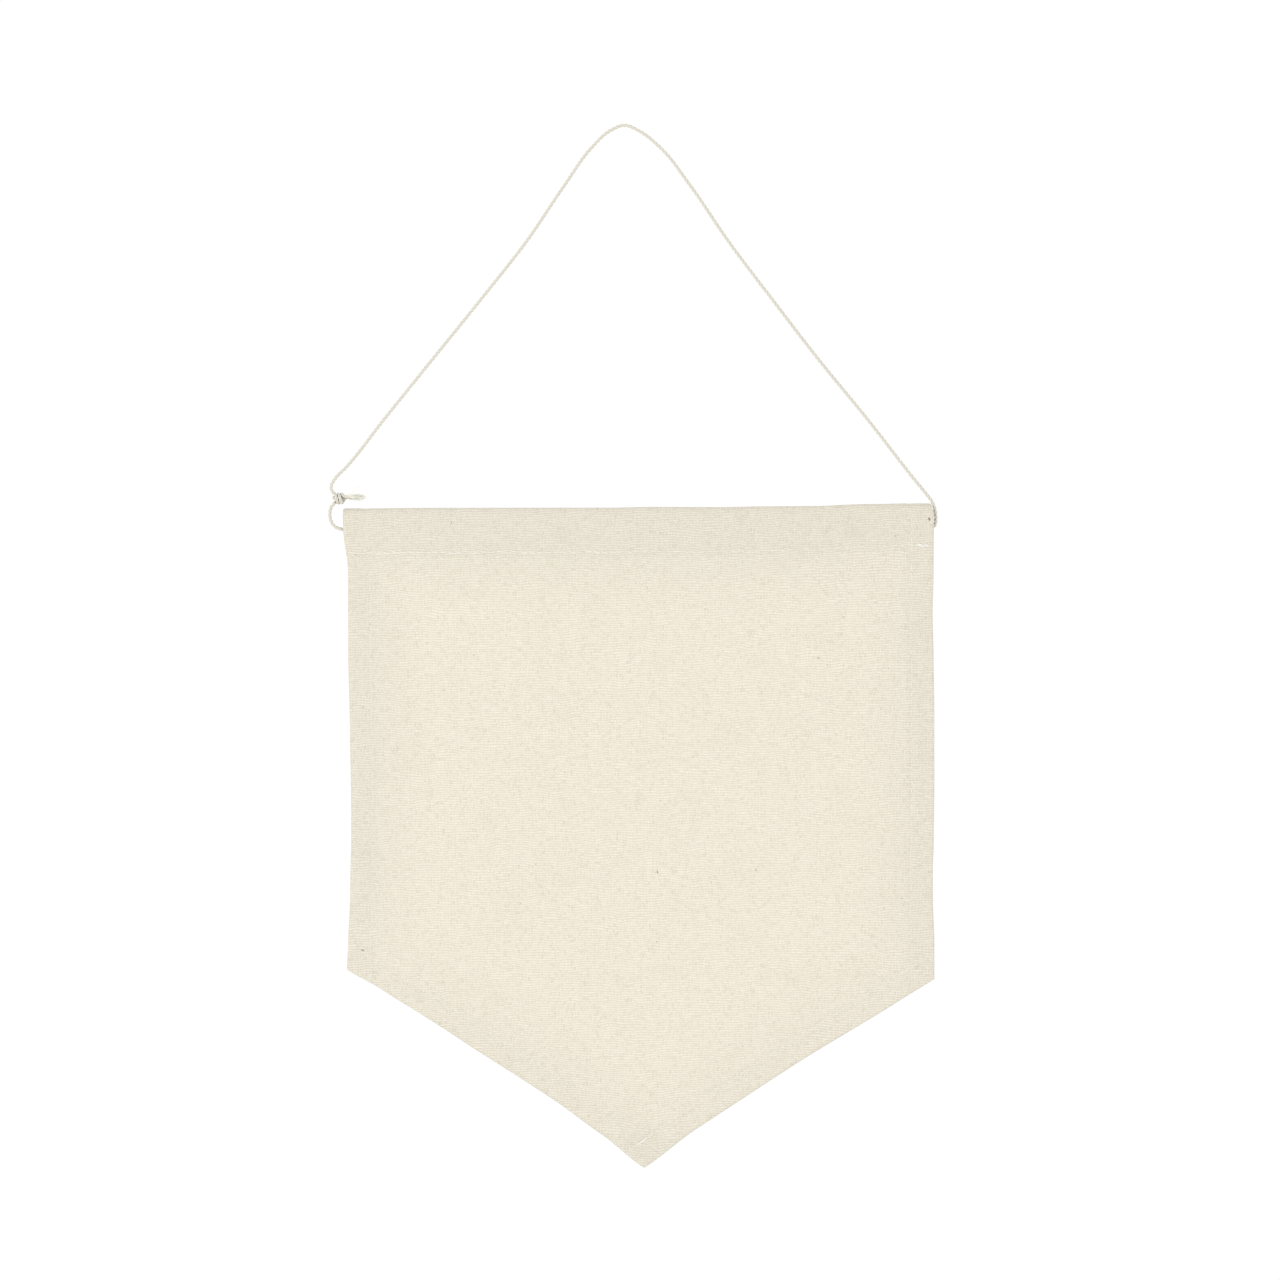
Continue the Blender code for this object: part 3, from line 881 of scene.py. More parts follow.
def hang(x, y, z):
    """Move places of the flat cloth to where they hang."""
    drop = TOP_Z - z
    left = edge_share(x - BODY_LEFT, SWAY_REACH)
    right = edge_share(BODY_RIGHT - x, SWAY_REACH)
    shift = left * along(LEFT_SIDE_SWAY, drop) + right * along(RIGHT_SIDE_SWAY, drop)
    rise = edge_share(drop, RISE_REACH) * along(TOP_EDGE_RISE, x)
    rise = rise + edge_share(np.abs(drop - SEAM_DROP), SEAM_RISE_REACH) * along(SEAM_RISE, x)
    pull_x, pull_z = draw_in(x, z)
    return x + pull_x + shift, y + depth_of_hang(x, z) + small_folds(x, z), z + pull_z + rise


print(f"roll and curl take the tip {-float(depth_of_hang(TIP_X, TIP_Z)) / MM:.1f} mm to the front")

# %% [markdown]
# ## Small folds and puckers
#
# Finer than the solid's forms, sewing gathers the cloth a little along each seam, and a canvas that was
# packed flat keeps a few soft creases. A displacement texture could do it, but it wouldn't know where the
# seams are. A formula does: ripples that are strongest at a seam and fade within a few millimetres.

# %% Puckers at the seams and listed creases
PUCKER_REACH = 8.5 * MM
HEADER_PUCKER = 0.13 * MM
HEADER_PUCKER_DROP = SEAM_DROP + 2.0 * MM
HEM_PUCKER = 0.10 * MM
# The creases and the puckers of the other edges fade in from this drop on, over this length
FOLDS_FROM = 12.0 * MM
FOLDS_FADE = 14.0 * MM
# Each wave of a ripple: its strength, its length and its start
RIPPLE_WAVES = ((0.5, 1.9, 0.0), (0.55, 3.1, 1.3), (0.35, 5.3, 0.4))
# How fast the ripples run on the sides and on the lower edges, against the header's
SIDE_PACE = 0.9
LOWER_PACE = 1.1
# Millimetres: both ends of a crease (across, drop), its half width, its depth to the back
CREASES = (
    (-84.0, 22.0, -66.0, 74.0, 9.0, 0.30),
    (92.0, 20.0, 74.0, 66.0, 10.0, 0.34),
    (-36.0, 19.0, -31.0, 62.0, 7.0, -0.18),
    (28.0, 20.0, 34.0, 88.0, 9.0, 0.16),
    (-78.0, 148.0, -30.0, 122.0, 12.0, -0.30),
    (86.0, 150.0, 48.0, 118.0, 12.0, -0.26),
    (2.0, 214.0, 11.0, 168.0, 10.0, 0.28),
    (-92.0, 96.0, -60.0, 100.0, 10.0, 0.22),
)
print(len(CREASES), "creases placed by hand")

# %% Puckers and creases as depths
def ripple(place):
    """An uneven wave, from -1 to 1."""
    waves = sum(strength * np.sin(place / MM / length + start) for strength, length, start in RIPPLE_WAVES)
    return waves / sum(strength for strength, length, start in RIPPLE_WAVES)


def crease_depth(x, drop):
    """The depth of all creases at a place."""
    depth = np.zeros_like(x)
    for x0, drop0, x1, drop1, width, deep in CREASES:
        way_x, way_drop = (x1 - x0) * MM, (drop1 - drop0) * MM
        length = math.hypot(way_x, way_drop)
        share = ((x - x0 * MM) * way_x + (drop - drop0 * MM) * way_drop) / length**2
        beside = ((x - x0 * MM) * way_drop - (drop - drop0 * MM) * way_x) / length / (width * MM)
        over_end = np.maximum(np.maximum(-share, share - 1.0), 0.0) * length / (width * MM)
        depth = depth + deep * MM * np.exp(-(beside**2) - over_end**2)
    return depth


def small_folds(x, z):
    """Puckers and creases together, as a depth to the back."""
    drop = TOP_Z - z
    side = np.minimum(x - BODY_LEFT, BODY_RIGHT - x)
    lower = lower_inset(x, z)
    at_header = edge_share(np.abs(drop - HEADER_PUCKER_DROP), PUCKER_REACH) * HEADER_PUCKER * ripple(x)
    at_side = edge_share(np.abs(side - STITCH_INSET), PUCKER_REACH) * HEM_PUCKER * ripple(z * SIDE_PACE + x)
    at_lower = edge_share(np.abs(lower - STITCH_INSET), PUCKER_REACH) * HEM_PUCKER * ripple(x * LOWER_PACE)
    below = smooth((drop - FOLDS_FROM) / FOLDS_FADE)
    return at_header + (at_side + at_lower + crease_depth(x, drop)) * below


print(f"the header's puckers are up to {HEADER_PUCKER / MM:.2f} mm deep")


# %% [markdown]
# ## The header's fold
#
# From the side the header is a narrow drop shape: the front wall bellies out over the cord, goes over the top
# fold and comes down the back to a second row of stitches. One smooth line through a few places of that
# section carries every layer. Where the side hems are folded in, the walls need more room.

# %% The line that the cloth follows through the header
# Millimetres: drop below the top, depth, from the foot of the back wall over the top to the panel
HEADER_LINE = (
    (18.3, 0.50),
    (17.1, 0.44),
    (15.5, 0.38),
    (12.6, 0.95),
    (9.8, 1.55),
    (7.4, 1.85),
    (4.0, 1.75),
    (1.6, 1.38),
    (0.62, 0.80),
    (0.25, 0.0),
    (0.62, -0.80),
    (1.6, -1.38),
    (4.0, -1.80),
    (7.4, -1.90),
    (9.8, -1.42),
    (12.6, -0.97),
    (15.5, -0.74),
    (17.5, -0.58),
    (19.5, -0.55),
    (21.5, -0.55),
)
TOP_ROW = 9
# Drop and extra depth where the walls also hold the side hems
HEM_ROOM_BACK = ((0.25, 0.0), (1.6, 0.25), (4.0, 0.30), (7.5, 0.45), (12.0, 1.50), (15.0, 2.16), (17.0, 2.16))
HEM_ROOM_FRONT = ((0.25, 0.0), (1.6, -0.20), (6.0, -0.20), (11.0, -0.05), (14.0, 0.0))
HEM_ROOM_REACH = 5.0 * MM
print("places on the header's section:", len(HEADER_LINE))

# %% The same line, measured along the cloth
LINE_STEPS = 12
header_points = [Vector((0.0, depth, -drop)) * MM for drop, depth in HEADER_LINE]
header_fine = np.array(smooth_line(header_points, LINE_STEPS))
header_distance = np.concatenate(([0.0], np.cumsum(np.linalg.norm(np.diff(header_fine, axis=0), axis=1))))
header_distance -= header_distance[TOP_ROW * LINE_STEPS]
header_drop = -header_fine[:, 2]
header_depth = header_fine[:, 1]
FLAT_FROM = header_distance[-1]
HEADER_SLACK = FLAT_FROM - header_drop[-1]
print(f"the header's front wall takes {FLAT_FROM / MM:.1f} mm of cloth")


# %% From a place on the cloth to a place in space
# How far apart two places are between which the cloth's slope is read
SLOPE_STEP = 0.05 * MM


def in_hem_zone(x):
    """1 where the side hems lie, easing to 0 beside them."""
    side = np.minimum(x - BODY_LEFT, BODY_RIGHT - x)
    return edge_share(side - HEM_WIDTH, HEM_ROOM_REACH)


def sheet_middle(x, down):
    """Depth and drop of the middle of the sheet at a place on it."""
    drop = np.where(down < FLAT_FROM, np.interp(down, header_distance, header_drop), down - HEADER_SLACK)
    depth = np.interp(down, header_distance, header_depth)
    room = np.where(down < 0.0, along(HEM_ROOM_BACK, drop), along(HEM_ROOM_FRONT, drop))
    return depth + in_hem_zone(x) * room, drop


def on_cloth(x, down, height):
    """Where places of the folded cloth are in space, as rows of three numbers."""
    x, down, height = (np.atleast_1d(np.asarray(value, float)) for value in (x, down, height))
    depth, drop = sheet_middle(x, down)
    depth_before, drop_before = sheet_middle(x, down - SLOPE_STEP)
    depth_after, drop_after = sheet_middle(x, down + SLOPE_STEP)
    along_depth, along_drop = depth_after - depth_before, drop_after - drop_before
    length = np.hypot(along_depth, along_drop)
    y = depth + height * along_drop / length
    z = TOP_Z - drop + height * along_depth / length
    return np.stack(hang(x, y, z), axis=1)


tip_place = on_cloth(TIP_X, TOP_Z - TIP_Z + HEADER_SLACK, 0.0)[0]
print("the tip hangs at", [round(float(value) / MM, 1) for value in tip_place], "mm")


# %% [markdown]
# ## One sheet, folded
#
# Each part of the sheet is a grid of places: the panel with the header's two walls, the four hems and the
# raw edge that is turned under behind the header. Grids that meet share their places on the fold, and are
# welded there, so that the cloth stays one piece. The rows of the panel slant towards the tip, so that its
# lower edges have no steps.

# %% Lines inside both lower edges
def tip_at(left_inset, right_inset):
    """Where the lines inside the left and the right lower edge meet."""
    left = LEFT_CORNER_Z + left_inset / LEFT_COSINE
    right = RIGHT_CORNER_Z + right_inset / RIGHT_COSINE
    x = (right - left + LEFT_SLOPE * BODY_LEFT - RIGHT_SLOPE * BODY_RIGHT) / (LEFT_SLOPE - RIGHT_SLOPE)
    return x, left + LEFT_SLOPE * (x - BODY_LEFT)


def fold_z(x, inset):
    """Height of the line that runs inside both lower edges at an inset."""
    return np.where(x < tip_at(inset, inset)[0], left_foot(x, inset), right_foot(x, inset))


print(f"the two lower edges meet {float(tip_at(0.0, 0.0)[0]) / MM:.1f} mm to the right of the nail")

# %% How close rows and columns lie
COLUMN_SPACING = 1.55 * MM
ROW_SPACING = 1.45 * MM
LEVEL_ROWS_END = 20.0 * MM + HEADER_SLACK
BACK_WALL_END = -17.0 * MM
# Level rows in millimetres down from the fold: from where, to where, how far apart
LEVEL_BANDS = (
    (-15.0, -3.0, 1.0),
    (-3.0, 3.0, 0.4),
    (3.0, 14.0, 1.0),
)
SEAM_ROWS = 0.5 * MM
# Places are rounded to a millionth of a millimetre before doubles are dropped
ROUNDING = 9
# How far inside the fold the closer rows lie, in millimetres
CLOSE_ROWS = (0.0, 0.8, 2.0, 3.4, 4.8, 5.8, 6.4, 6.8, 7.1, 7.5, 8.1, 9.0, 10.4, 12.2, 14.2)
close_rows = np.array(CLOSE_ROWS) * MM


def spaced(start, end, spacing):
    """Even places from a start to an end, both included."""
    return np.linspace(start, end, max(2, round(abs(end - start) / spacing) + 1))


print("closer rows beside each fold:", len(CLOSE_ROWS))

# %% Rows and columns of the panel
left_fold = BODY_LEFT + FOLD_IN
right_fold = BODY_RIGHT - FOLD_IN
fold_tip = tip_at(FOLD_IN, FOLD_IN)
columns = np.unique(np.concatenate((
    left_fold + close_rows,
    spaced(left_fold + close_rows[-1], fold_tip[0], COLUMN_SPACING),
    spaced(fold_tip[0], right_fold - close_rows[-1], COLUMN_SPACING),
    right_fold - close_rows,
)).round(ROUNDING))
tip_column = int(np.argmin(np.abs(columns - fold_tip[0])))
level_rows = np.unique(np.concatenate((
    spaced(BACK_WALL_END, LEVEL_BANDS[0][0] * MM, SEAM_ROWS),
    *(spaced(start * MM, end * MM, spacing * MM) for start, end, spacing in LEVEL_BANDS),
    spaced(LEVEL_BANDS[-1][1] * MM, LEVEL_ROWS_END, SEAM_ROWS),
)).round(ROUNDING))
print(f"{len(columns)} columns, {len(level_rows)} level rows, the tip at column {tip_column}")

# %% The panel's slanting rows
foot = TOP_Z - fold_z(columns, FOLD_IN) + HEADER_SLACK
close_from_foot = close_rows[::-1] / LEFT_COSINE
slant_count = round((np.min(foot) - close_from_foot[0] - LEVEL_ROWS_END) / ROW_SPACING)
slant_shares = np.linspace(0.0, 1.0, slant_count + 1)[1:-1]


def panel_rows(foot_here):
    """The places down one column, from the back wall's foot to the lower edge."""
    last_even = foot_here - close_from_foot[0]
    slanting = LEVEL_ROWS_END + (last_even - LEVEL_ROWS_END) * slant_shares
    return np.concatenate((level_rows, slanting, foot_here - close_from_foot))


panel_down = np.stack([panel_rows(foot_here) for foot_here in foot], axis=1)
print(f"the panel has {panel_down.shape[0]} rows")

# %% [markdown]
# ### How deep the stitches pull
#
# A lockstitch draws the layers together, so the front dips along each stitch line and the back of the hem
# dips to meet it. Where two or three layers lie over each other, less light from the white ground comes
# through, so the front gets a painted shade there, and that painted shade fades slowly inward from each hem.
# It is stored as one painted value, from 0 on the single cloth up to 1 where the most layers lie.

# %% Dents along the stitch lines
STITCH_DENT = 0.11 * MM
DENT_WIDTH = 0.75 * MM


def seam_distance(x, down):
    """Distances from a place to the header's seam, the side seams and the lower seams."""
    z = TOP_Z - (down - HEADER_SLACK)
    header = np.abs(down) - SEAM_DROP - HEADER_SLACK
    side = np.minimum(x - BODY_LEFT, BODY_RIGHT - x) - STITCH_INSET
    lower = np.where(down > 0.0, lower_inset(x, z), 1.0) - STITCH_INSET
    return header, side, lower


def stitch_dent(x, down):
    """How deep the cloth is pulled in at a place."""
    dents = [np.exp(-((distance / DENT_WIDTH) ** 2)) for distance in seam_distance(x, down)]
    return STITCH_DENT * np.maximum.reduce(dents)


at_seam = stitch_dent(columns, np.full_like(columns, SEAM_DROP + HEADER_SLACK))
print(f"stitches pull the front in by {float(np.max(at_seam)) / MM:.2f} mm")

# %% Painted shade at the hems, the header and the tip
# A hem's painted shade ends in a small step, with this share of it, and the rest fades slowly inward
STEP_SHARE = 0.42
HEM_STEP = 1.4 * MM
HEM_SHADOW = 22.0 * MM
TIP_SHADOW = 9.0 * MM
# How dark the painted shade is in the header, the side hems and the lower hems, and at the tip where two hems
# cross
ZONE_SHARES = (0.80, 0.69, 0.48)
TIP_SHARE = 1.0
# The painted shade value of what lies behind the front
HEM_SHARE = 0.80


def painted_layer_shade(x, down):
    """The painted shade of layered cloth: a small step at the hem's inner edge, then a slow fade."""
    zones = []
    for distance, share in zip(seam_distance(x, down), ZONE_SHARES):
        past = distance - (HEM_WIDTH - STITCH_INSET)
        step, fade = edge_share(past, HEM_STEP), edge_share(past, HEM_SHADOW)
        zones.append(share * (STEP_SHARE * step + (1.0 - STEP_SHARE) * fade))
    crossed = np.maximum(*lower_insets(x, TOP_Z - (down - HEADER_SLACK))) - HEM_WIDTH
    zones.append(np.where(down > 0.0, TIP_SHARE * edge_share(crossed, TIP_SHADOW), 0.0))
    return np.maximum.reduce(zones)


in_header = painted_layer_shade(np.zeros(1), np.full(1, HEADER_SLACK))
print(f"doubled cloth in the header is painted {float(in_header[0]):.2f}")


# %% Collecting the grids
sheet_places = []
sheet_faces = []


def add_grid(x, down, height, flat_x, flat_down, layer_shade_value):
    """Add a grid of places. The flat numbers say where each lies on the cut cloth."""
    start = sum(len(block) for block in sheet_places)
    rows, count = x.shape
    block = np.stack([np.broadcast_to(value, x.shape).ravel() for value in
                      (x, down, height, flat_x, flat_down, layer_shade_value)], axis=1)
    sheet_places.append(block)
    for row in range(rows - 1):
        low = start + row * count
        for column in range(low, low + count - 1):
            sheet_faces.append((column, column + count, column + count + 1, column + 1))


panel_x = np.broadcast_to(columns, panel_down.shape)
panel_height = stitch_dent(panel_x, panel_down)
add_grid(panel_x, panel_down, panel_height, panel_x, panel_down, painted_layer_shade(panel_x, panel_down))
print("panel places:", panel_x.size)

# %% [markdown]
# ### The turned hems
#
# From a fold at the edge the cloth comes back over itself, is turned once more at the inner side of the hem,
# and its raw edge ends hidden between the layers. All four hems share that section. The sides were sewn
# first, then the left lower edge, then the right one, so each later hem climbs over the one before it.

# %% The section of a hem
def arc(first_angle, last_angle, steps):
    """Even places on an arc between two angles in degrees, as sines and cosines."""
    turned = [first_angle + (last_angle - first_angle) * step / steps for step in range(steps + 1)]
    return [(math.sin(math.radians(angle)), math.cos(math.radians(angle))) for angle in turned]


INNER_FOLD = HEM_WIDTH - HALF - LAYER / 2
QUARTER_STEPS = 3
INNER_STEPS = 4
# Millimetres inside the edge: rows of the outer layer, then of the layer that is hidden under it
OUTER_ROWS = (1.6, 2.8, 4.2, 5.6, 6.6, 7.2, 7.8)
HIDDEN_ROWS = (6.5, 4.0, 1.8)
# Each row: inset from the edge, height over the front layer, 1 for what climbs over an earlier hem, and how
# far its ends have moved from the mitre to where that layer ends
hem_section = []
for sine, cosine in arc(0, 90, QUARTER_STEPS):
    hem_section.append((FOLD_IN - LAYER * sine, LAYER * (1.0 - cosine), 0.0, 0.0))
for number, (sine, cosine) in enumerate(arc(90, 180, QUARTER_STEPS)[1:], 1):
    hem_section.append((FOLD_IN - LAYER * sine, LAYER * (1.0 - cosine), 1.0, number / QUARTER_STEPS))
hem_section += [(inset * MM, 2 * LAYER, 1.0, 1.0) for inset in OUTER_ROWS]
for sine, cosine in arc(0, 180, INNER_STEPS):
    hem_section.append((INNER_FOLD + LAYER / 2 * sine, LAYER * (1.5 + cosine / 2), 1.0, 1.0))
hem_section += [(inset * MM, LAYER, 1.0, 1.0) for inset in HIDDEN_ROWS]
hem_section = np.array(hem_section)
hem_steps = np.hypot(np.diff(hem_section[:, 0]), np.diff(hem_section[:, 1]))
hem_unrolled = np.concatenate(([0.0], np.cumsum(hem_steps)))
print(f"one hem takes {hem_unrolled[-1] / MM:.1f} mm of cloth")

# %% How an edge's hem is laid
# How far inside the neighbouring edge a layer ends: hidden under a later hem, or nearly level with the edge
TUCKED = 0.9 * MM
FLUSH = 0.3 * MM
CLIMB_REACH = 3.5 * MM


def climb(distance):
    """How high a hem is lifted at a distance from the edge whose hem it crosses."""
    return 2 * LAYER * edge_share(distance - HEM_WIDTH, CLIMB_REACH)


def hem_height(inset, height, lifted, lift):
    """Height of a hem's places, pulled in where it is stitched."""
    dent = STITCH_DENT * np.exp(-(((inset - STITCH_INSET) / DENT_WIDTH) ** 2))
    is_outer = height > 1.5 * LAYER
    return height + lifted * (lift - dent * is_outer)


print(f"a later hem climbs {float(climb(0.0)) / MM:.2f} mm over an earlier one")


# %% The side hems
def add_side_hem(edge, inward, column, foot_z):
    """Turn a side to the back, from the back wall's foot over the top fold to the lower corner."""
    boundary = panel_down[:, column]
    level = boundary <= LEVEL_ROWS_END
    grids = []
    for (inset, height, lifted, moved), unrolled in zip(hem_section, hem_unrolled):
        x = edge + inward * inset
        end = TOP_Z - foot_z(x, inset + moved * (TUCKED - inset)) + HEADER_SLACK
        share = (boundary - LEVEL_ROWS_END) / (boundary[-1] - LEVEL_ROWS_END)
        down = np.where(level, boundary, LEVEL_ROWS_END + share * (end - LEVEL_ROWS_END))
        if unrolled == 0.0:
            down = boundary
        flat_x = edge + inward * (FOLD_IN - unrolled)
        row_height = hem_height(inset, height, lifted, 0.0)
        if unrolled == 0.0:
            row_height = stitch_dent(np.full_like(down, x), down)
        grids.append((np.full_like(down, x), down, np.broadcast_to(row_height, down.shape),
                      np.full_like(down, flat_x)))
    x, down, height, flat_x = (np.stack(parts) for parts in zip(*grids))
    add_grid(x, down, height, flat_x, down, HEM_SHARE)


add_side_hem(BODY_LEFT, 1.0, 0, left_foot)
add_side_hem(BODY_RIGHT, -1.0, -1, right_foot)
print("grids so far:", len(sheet_places))

# %% The lower hems
def add_lower_hem(from_left):
    """Turn a lower edge to the back, over the side hem and, on the right, over the left one at the tip."""
    foot_z, side = (left_foot, BODY_LEFT) if from_left else (right_foot, BODY_RIGHT)
    inward = 1.0 if from_left else -1.0
    slope, cosine = (LEFT_SLOPE, LEFT_COSINE) if from_left else (RIGHT_SLOPE, RIGHT_COSINE)
    here = columns[:tip_column + 1] if from_left else columns[tip_column:][::-1]
    share = (here - here[0]) / (here[-1] - here[0])
    normal = (-slope * cosine, cosine)
    grids = []
    for (inset, height, lifted, moved), unrolled in zip(hem_section, hem_unrolled):
        start_x = side + inward * (inset + moved * (FLUSH - inset))
        other = inset + moved * ((TUCKED if from_left else FLUSH) - inset)
        insets = (inset, other) if from_left else (other, inset)
        end_x = tip_at(*insets)[0]
        x = start_x + share * (end_x - start_x)
        z = foot_z(x, inset)
        lift = climb(np.abs(x - side))
        if not from_left:
            lift = np.maximum(lift, climb((z - left_foot(x, 0.0)) * LEFT_COSINE))
        row_height = np.broadcast_to(hem_height(inset, height, lifted, lift), x.shape)
        if unrolled == 0.0:
            row_height = stitch_dent(x, TOP_Z - z + HEADER_SLACK)
        out = FOLD_IN - unrolled - inset
        flat_x, flat_z = x + normal[0] * out, z + normal[1] * out
        down = TOP_Z - z + HEADER_SLACK
        grids.append((x, down, row_height, flat_x, TOP_Z - flat_z + HEADER_SLACK))
    add_grid(*(np.stack(parts) for parts in zip(*grids)), HEM_SHARE)


add_lower_hem(True)
add_lower_hem(False)
print("grids so far:", len(sheet_places))

# %% The raw edge that is turned under behind the header
TURN_UNDER = 7.6 * MM
TURN_STEPS = 5
UNDER_STEPS = 8
under_height = LAYER * (1.0 + 2.0 * in_hem_zone(columns))
# Each row: its place down the cloth, its height and its place on the flat cloth
under_rows = []
for sine, cosine in arc(0, 180, TURN_STEPS):
    turned_by = math.acos(max(-1.0, min(1.0, cosine)))
    flat = BACK_WALL_END - under_height * 0.5 * turned_by
    under_rows.append((BACK_WALL_END - under_height / 2 * sine, under_height / 2 * (1.0 - cosine), flat))
for step in range(1, UNDER_STEPS + 1):
    up = BACK_WALL_END + TURN_UNDER * step / UNDER_STEPS
    flat = BACK_WALL_END - under_height * 0.5 * math.pi - TURN_UNDER * step / UNDER_STEPS
    under_rows.append((np.full_like(columns, up), under_height, flat))
under_down, under_heights, under_flat = (np.stack([row[k] for row in under_rows]) for k in range(3))
under_x = np.broadcast_to(columns, under_down.shape)
under_heights[0] = stitch_dent(columns, np.full_like(columns, BACK_WALL_END))
add_grid(under_x, under_down, under_heights, under_x, under_flat, HEM_SHARE)
print("places in all:", sum(len(block) for block in sheet_places))

# %% [markdown]
# ### From places to a mesh
#
# The grids become one surface through the middle of the cloth. Solidify then gives it its real thickness of
# half a millimetre, to both sides. The flat places go into the mesh as an attribute: the weave follows them,
# so it turns with every fold and lies on the bias on the lower hems, as real canvas does.

# %% Building the cloth
WELD_DISTANCE = 0.004 * MM
across_cloth, down_cloth, heights, flat_across, flat_down, layer_shade_values = np.concatenate(sheet_places).T
mesh = bpy.data.meshes.new("canvas_cloth")
mesh.from_pydata(on_cloth(across_cloth, down_cloth, heights).tolist(), [], sheet_faces)
flat_places = np.stack([flat_across, -flat_down, np.zeros_like(flat_across)], axis=1)
mesh.attributes.new("flat_place", "FLOAT_VECTOR", "POINT").data.foreach_set("vector", flat_places.ravel())
# The painted shade of doubled cloth is stored with each place
mesh.attributes.new("painted_layer_shade", "FLOAT", "POINT").data.foreach_set("value", layer_shade_values)
welder = bmesh.new()
welder.from_mesh(mesh)
bmesh.ops.remove_doubles(welder, verts=welder.verts, dist=WELD_DISTANCE)
bmesh.ops.recalc_face_normals(welder, faces=welder.faces)
welder.to_mesh(mesh)
welder.free()
mesh.shade_smooth()
cloth = bpy.data.objects.new("canvas_cloth", mesh)
bpy.context.scene.collection.objects.link(cloth)
thicken = cloth.modifiers.new("thickness", "SOLIDIFY")
thicken.thickness = CLOTH_THICKNESS
thicken.offset = 0.0
print(f"cloth: {len(mesh.vertices)} places, {2 * 2 * len(mesh.polygons)} triangles when thickened")

# %% [markdown]
# ## Woven canvas
#
# Plain weave is a chessboard of crossings: each upright yarn goes over one cross yarn and under the next. An
# image of it would repeat and blur. Here the crossings are worked out from the flat place, in yarn widths:
# which of the two yarns is on top and how high it stands. No cloth is woven quite straight, so a slow noise
# first shifts both counts of yarns a little.

# %% Counting the yarns
YARN_ACROSS = 0.50 * MM
YARN_DOWN = 0.84 * MM
WANDER_SCALE = 125.0
# How far the upright and the cross yarns wander, in yarn widths
WARP_WANDER = 1.3
WEFT_WANDER = 2.7
canvas, tree, shader = new_material("natural_canvas")
flat = painted(tree, "flat_place", "Vector")
wander = tree.nodes.new("ShaderNodeTexNoise")
feed(tree, wander.inputs["Vector"], flat)
feed(tree, wander.inputs["Scale"], WANDER_SCALE)
feed(tree, wander.inputs["Detail"], 1.0)
parts = tree.nodes.new("ShaderNodeSeparateXYZ")
feed(tree, parts.inputs[0], flat)
offsets = tree.nodes.new("ShaderNodeSeparateXYZ")
feed(tree, offsets.inputs[0], wander.outputs["Color"])
warp_offset = calc(tree, "MULTIPLY", offsets.outputs[0], WARP_WANDER)
weft_offset = calc(tree, "MULTIPLY", offsets.outputs[1], WEFT_WANDER)
across = scale_and_add(tree, parts.outputs[0], 1.0 / YARN_ACROSS, warp_offset)
down = scale_and_add(tree, parts.outputs[1], 1.0 / YARN_DOWN, weft_offset)
warp_number = calc(tree, "FLOOR", across)
weft_number = calc(tree, "FLOOR", down)
print(f"weave: {10 * MM / YARN_ACROSS:.0f} upright and {10 * MM / YARN_DOWN:.0f} cross yarns in a centimetre")

# %% Over and under
# How far a yarn rises and dips at its crossings, against its own thickness
CRIMP = 0.45


def yarn_round(tree, count):
    """The round top of each yarn: 1 along its middle and 0 at its sides."""
    from_middle = calc(tree, "SUBTRACT", calc(tree, "FRACT", count), 0.5)
    return calc(tree, "COSINE", calc(tree, "MULTIPLY", from_middle, math.pi))


warp_wave = yarn_round(tree, across)
weft_wave = yarn_round(tree, down)
half_turns = calc(tree, "MULTIPLY", calc(tree, "ADD", warp_number, weft_number), math.pi)
crimp = calc(tree, "MULTIPLY", calc(tree, "COSINE", half_turns), CRIMP)
warp_height = calc(tree, "ADD", warp_wave, calc(tree, "MULTIPLY", crimp, weft_wave))
weft_height = calc(tree, "SUBTRACT", weft_wave, calc(tree, "MULTIPLY", crimp, warp_wave))
weave_height = calc(tree, "MULTIPLY", calc(tree, "MAXIMUM", warp_height, weft_height), 1.0 / (1.0 + CRIMP))
warp_on_top = calc(tree, "GREATER_THAN", warp_height, weft_height)
print("the weave:", len(tree.nodes), "nodes")

# %% [markdown]
# ### Uneven yarns
#
# Cotton yarn is never spun quite evenly, and it is this that makes canvas look alive. Noise that is stretched
# along each yarn gives its streaks, and now and then a long slub. A random value for each crossing breaks
# them up.

# %% Streaks along the yarns
# How fast the noise changes along an upright yarn, along a cross yarn and along a slub, in yarn widths
WARP_PACE = 0.30
WEFT_PACE = 0.13
SLUB_PACE = 0.045
# Scale, detail and roughness of the noise, whose places are already counted in yarns
STREAK_NOISE = (1.0, 1.0, 0.6)
SLUB_NOISE = (1.0, 1.0, 0.5)
WARP_CONTRAST = (0.0, 1.0, 0.10, 0.90)
WEFT_CONTRAST = (0.0, 1.0, -0.25, 1.25)
STREAK_SHARE = 0.70
CROSSING_SHARE = 0.30
# Any number that keeps the slubs apart from the streaks
SLUB_LEVEL = 8.0
warp_place = join_place(tree, warp_number, calc(tree, "MULTIPLY", down, WARP_PACE))
weft_place = join_place(tree, calc(tree, "MULTIPLY", across, WEFT_PACE), weft_number)
warp_streak = spread(tree, noise(tree, warp_place, *STREAK_NOISE), *WARP_CONTRAST)
weft_streak = spread(tree, noise(tree, weft_place, *STREAK_NOISE), *WEFT_CONTRAST)
crossing = tree.nodes.new("ShaderNodeTexWhiteNoise")
crossing.noise_dimensions = "2D"
feed(tree, crossing.inputs["Vector"], join_place(tree, warp_number, weft_number))
crossing_part = calc(tree, "MULTIPLY", crossing.outputs["Value"], CROSSING_SHARE)
top_streak = choose(tree, warp_on_top, weft_streak, warp_streak)
streak = scale_and_add(tree, top_streak, STREAK_SHARE, crossing_part)
slub_place = join_place(tree, warp_number, calc(tree, "MULTIPLY", down, SLUB_PACE), SLUB_LEVEL)
slub = noise(tree, slub_place, *SLUB_NOISE)
print("with its streaks:", len(tree.nodes), "nodes")
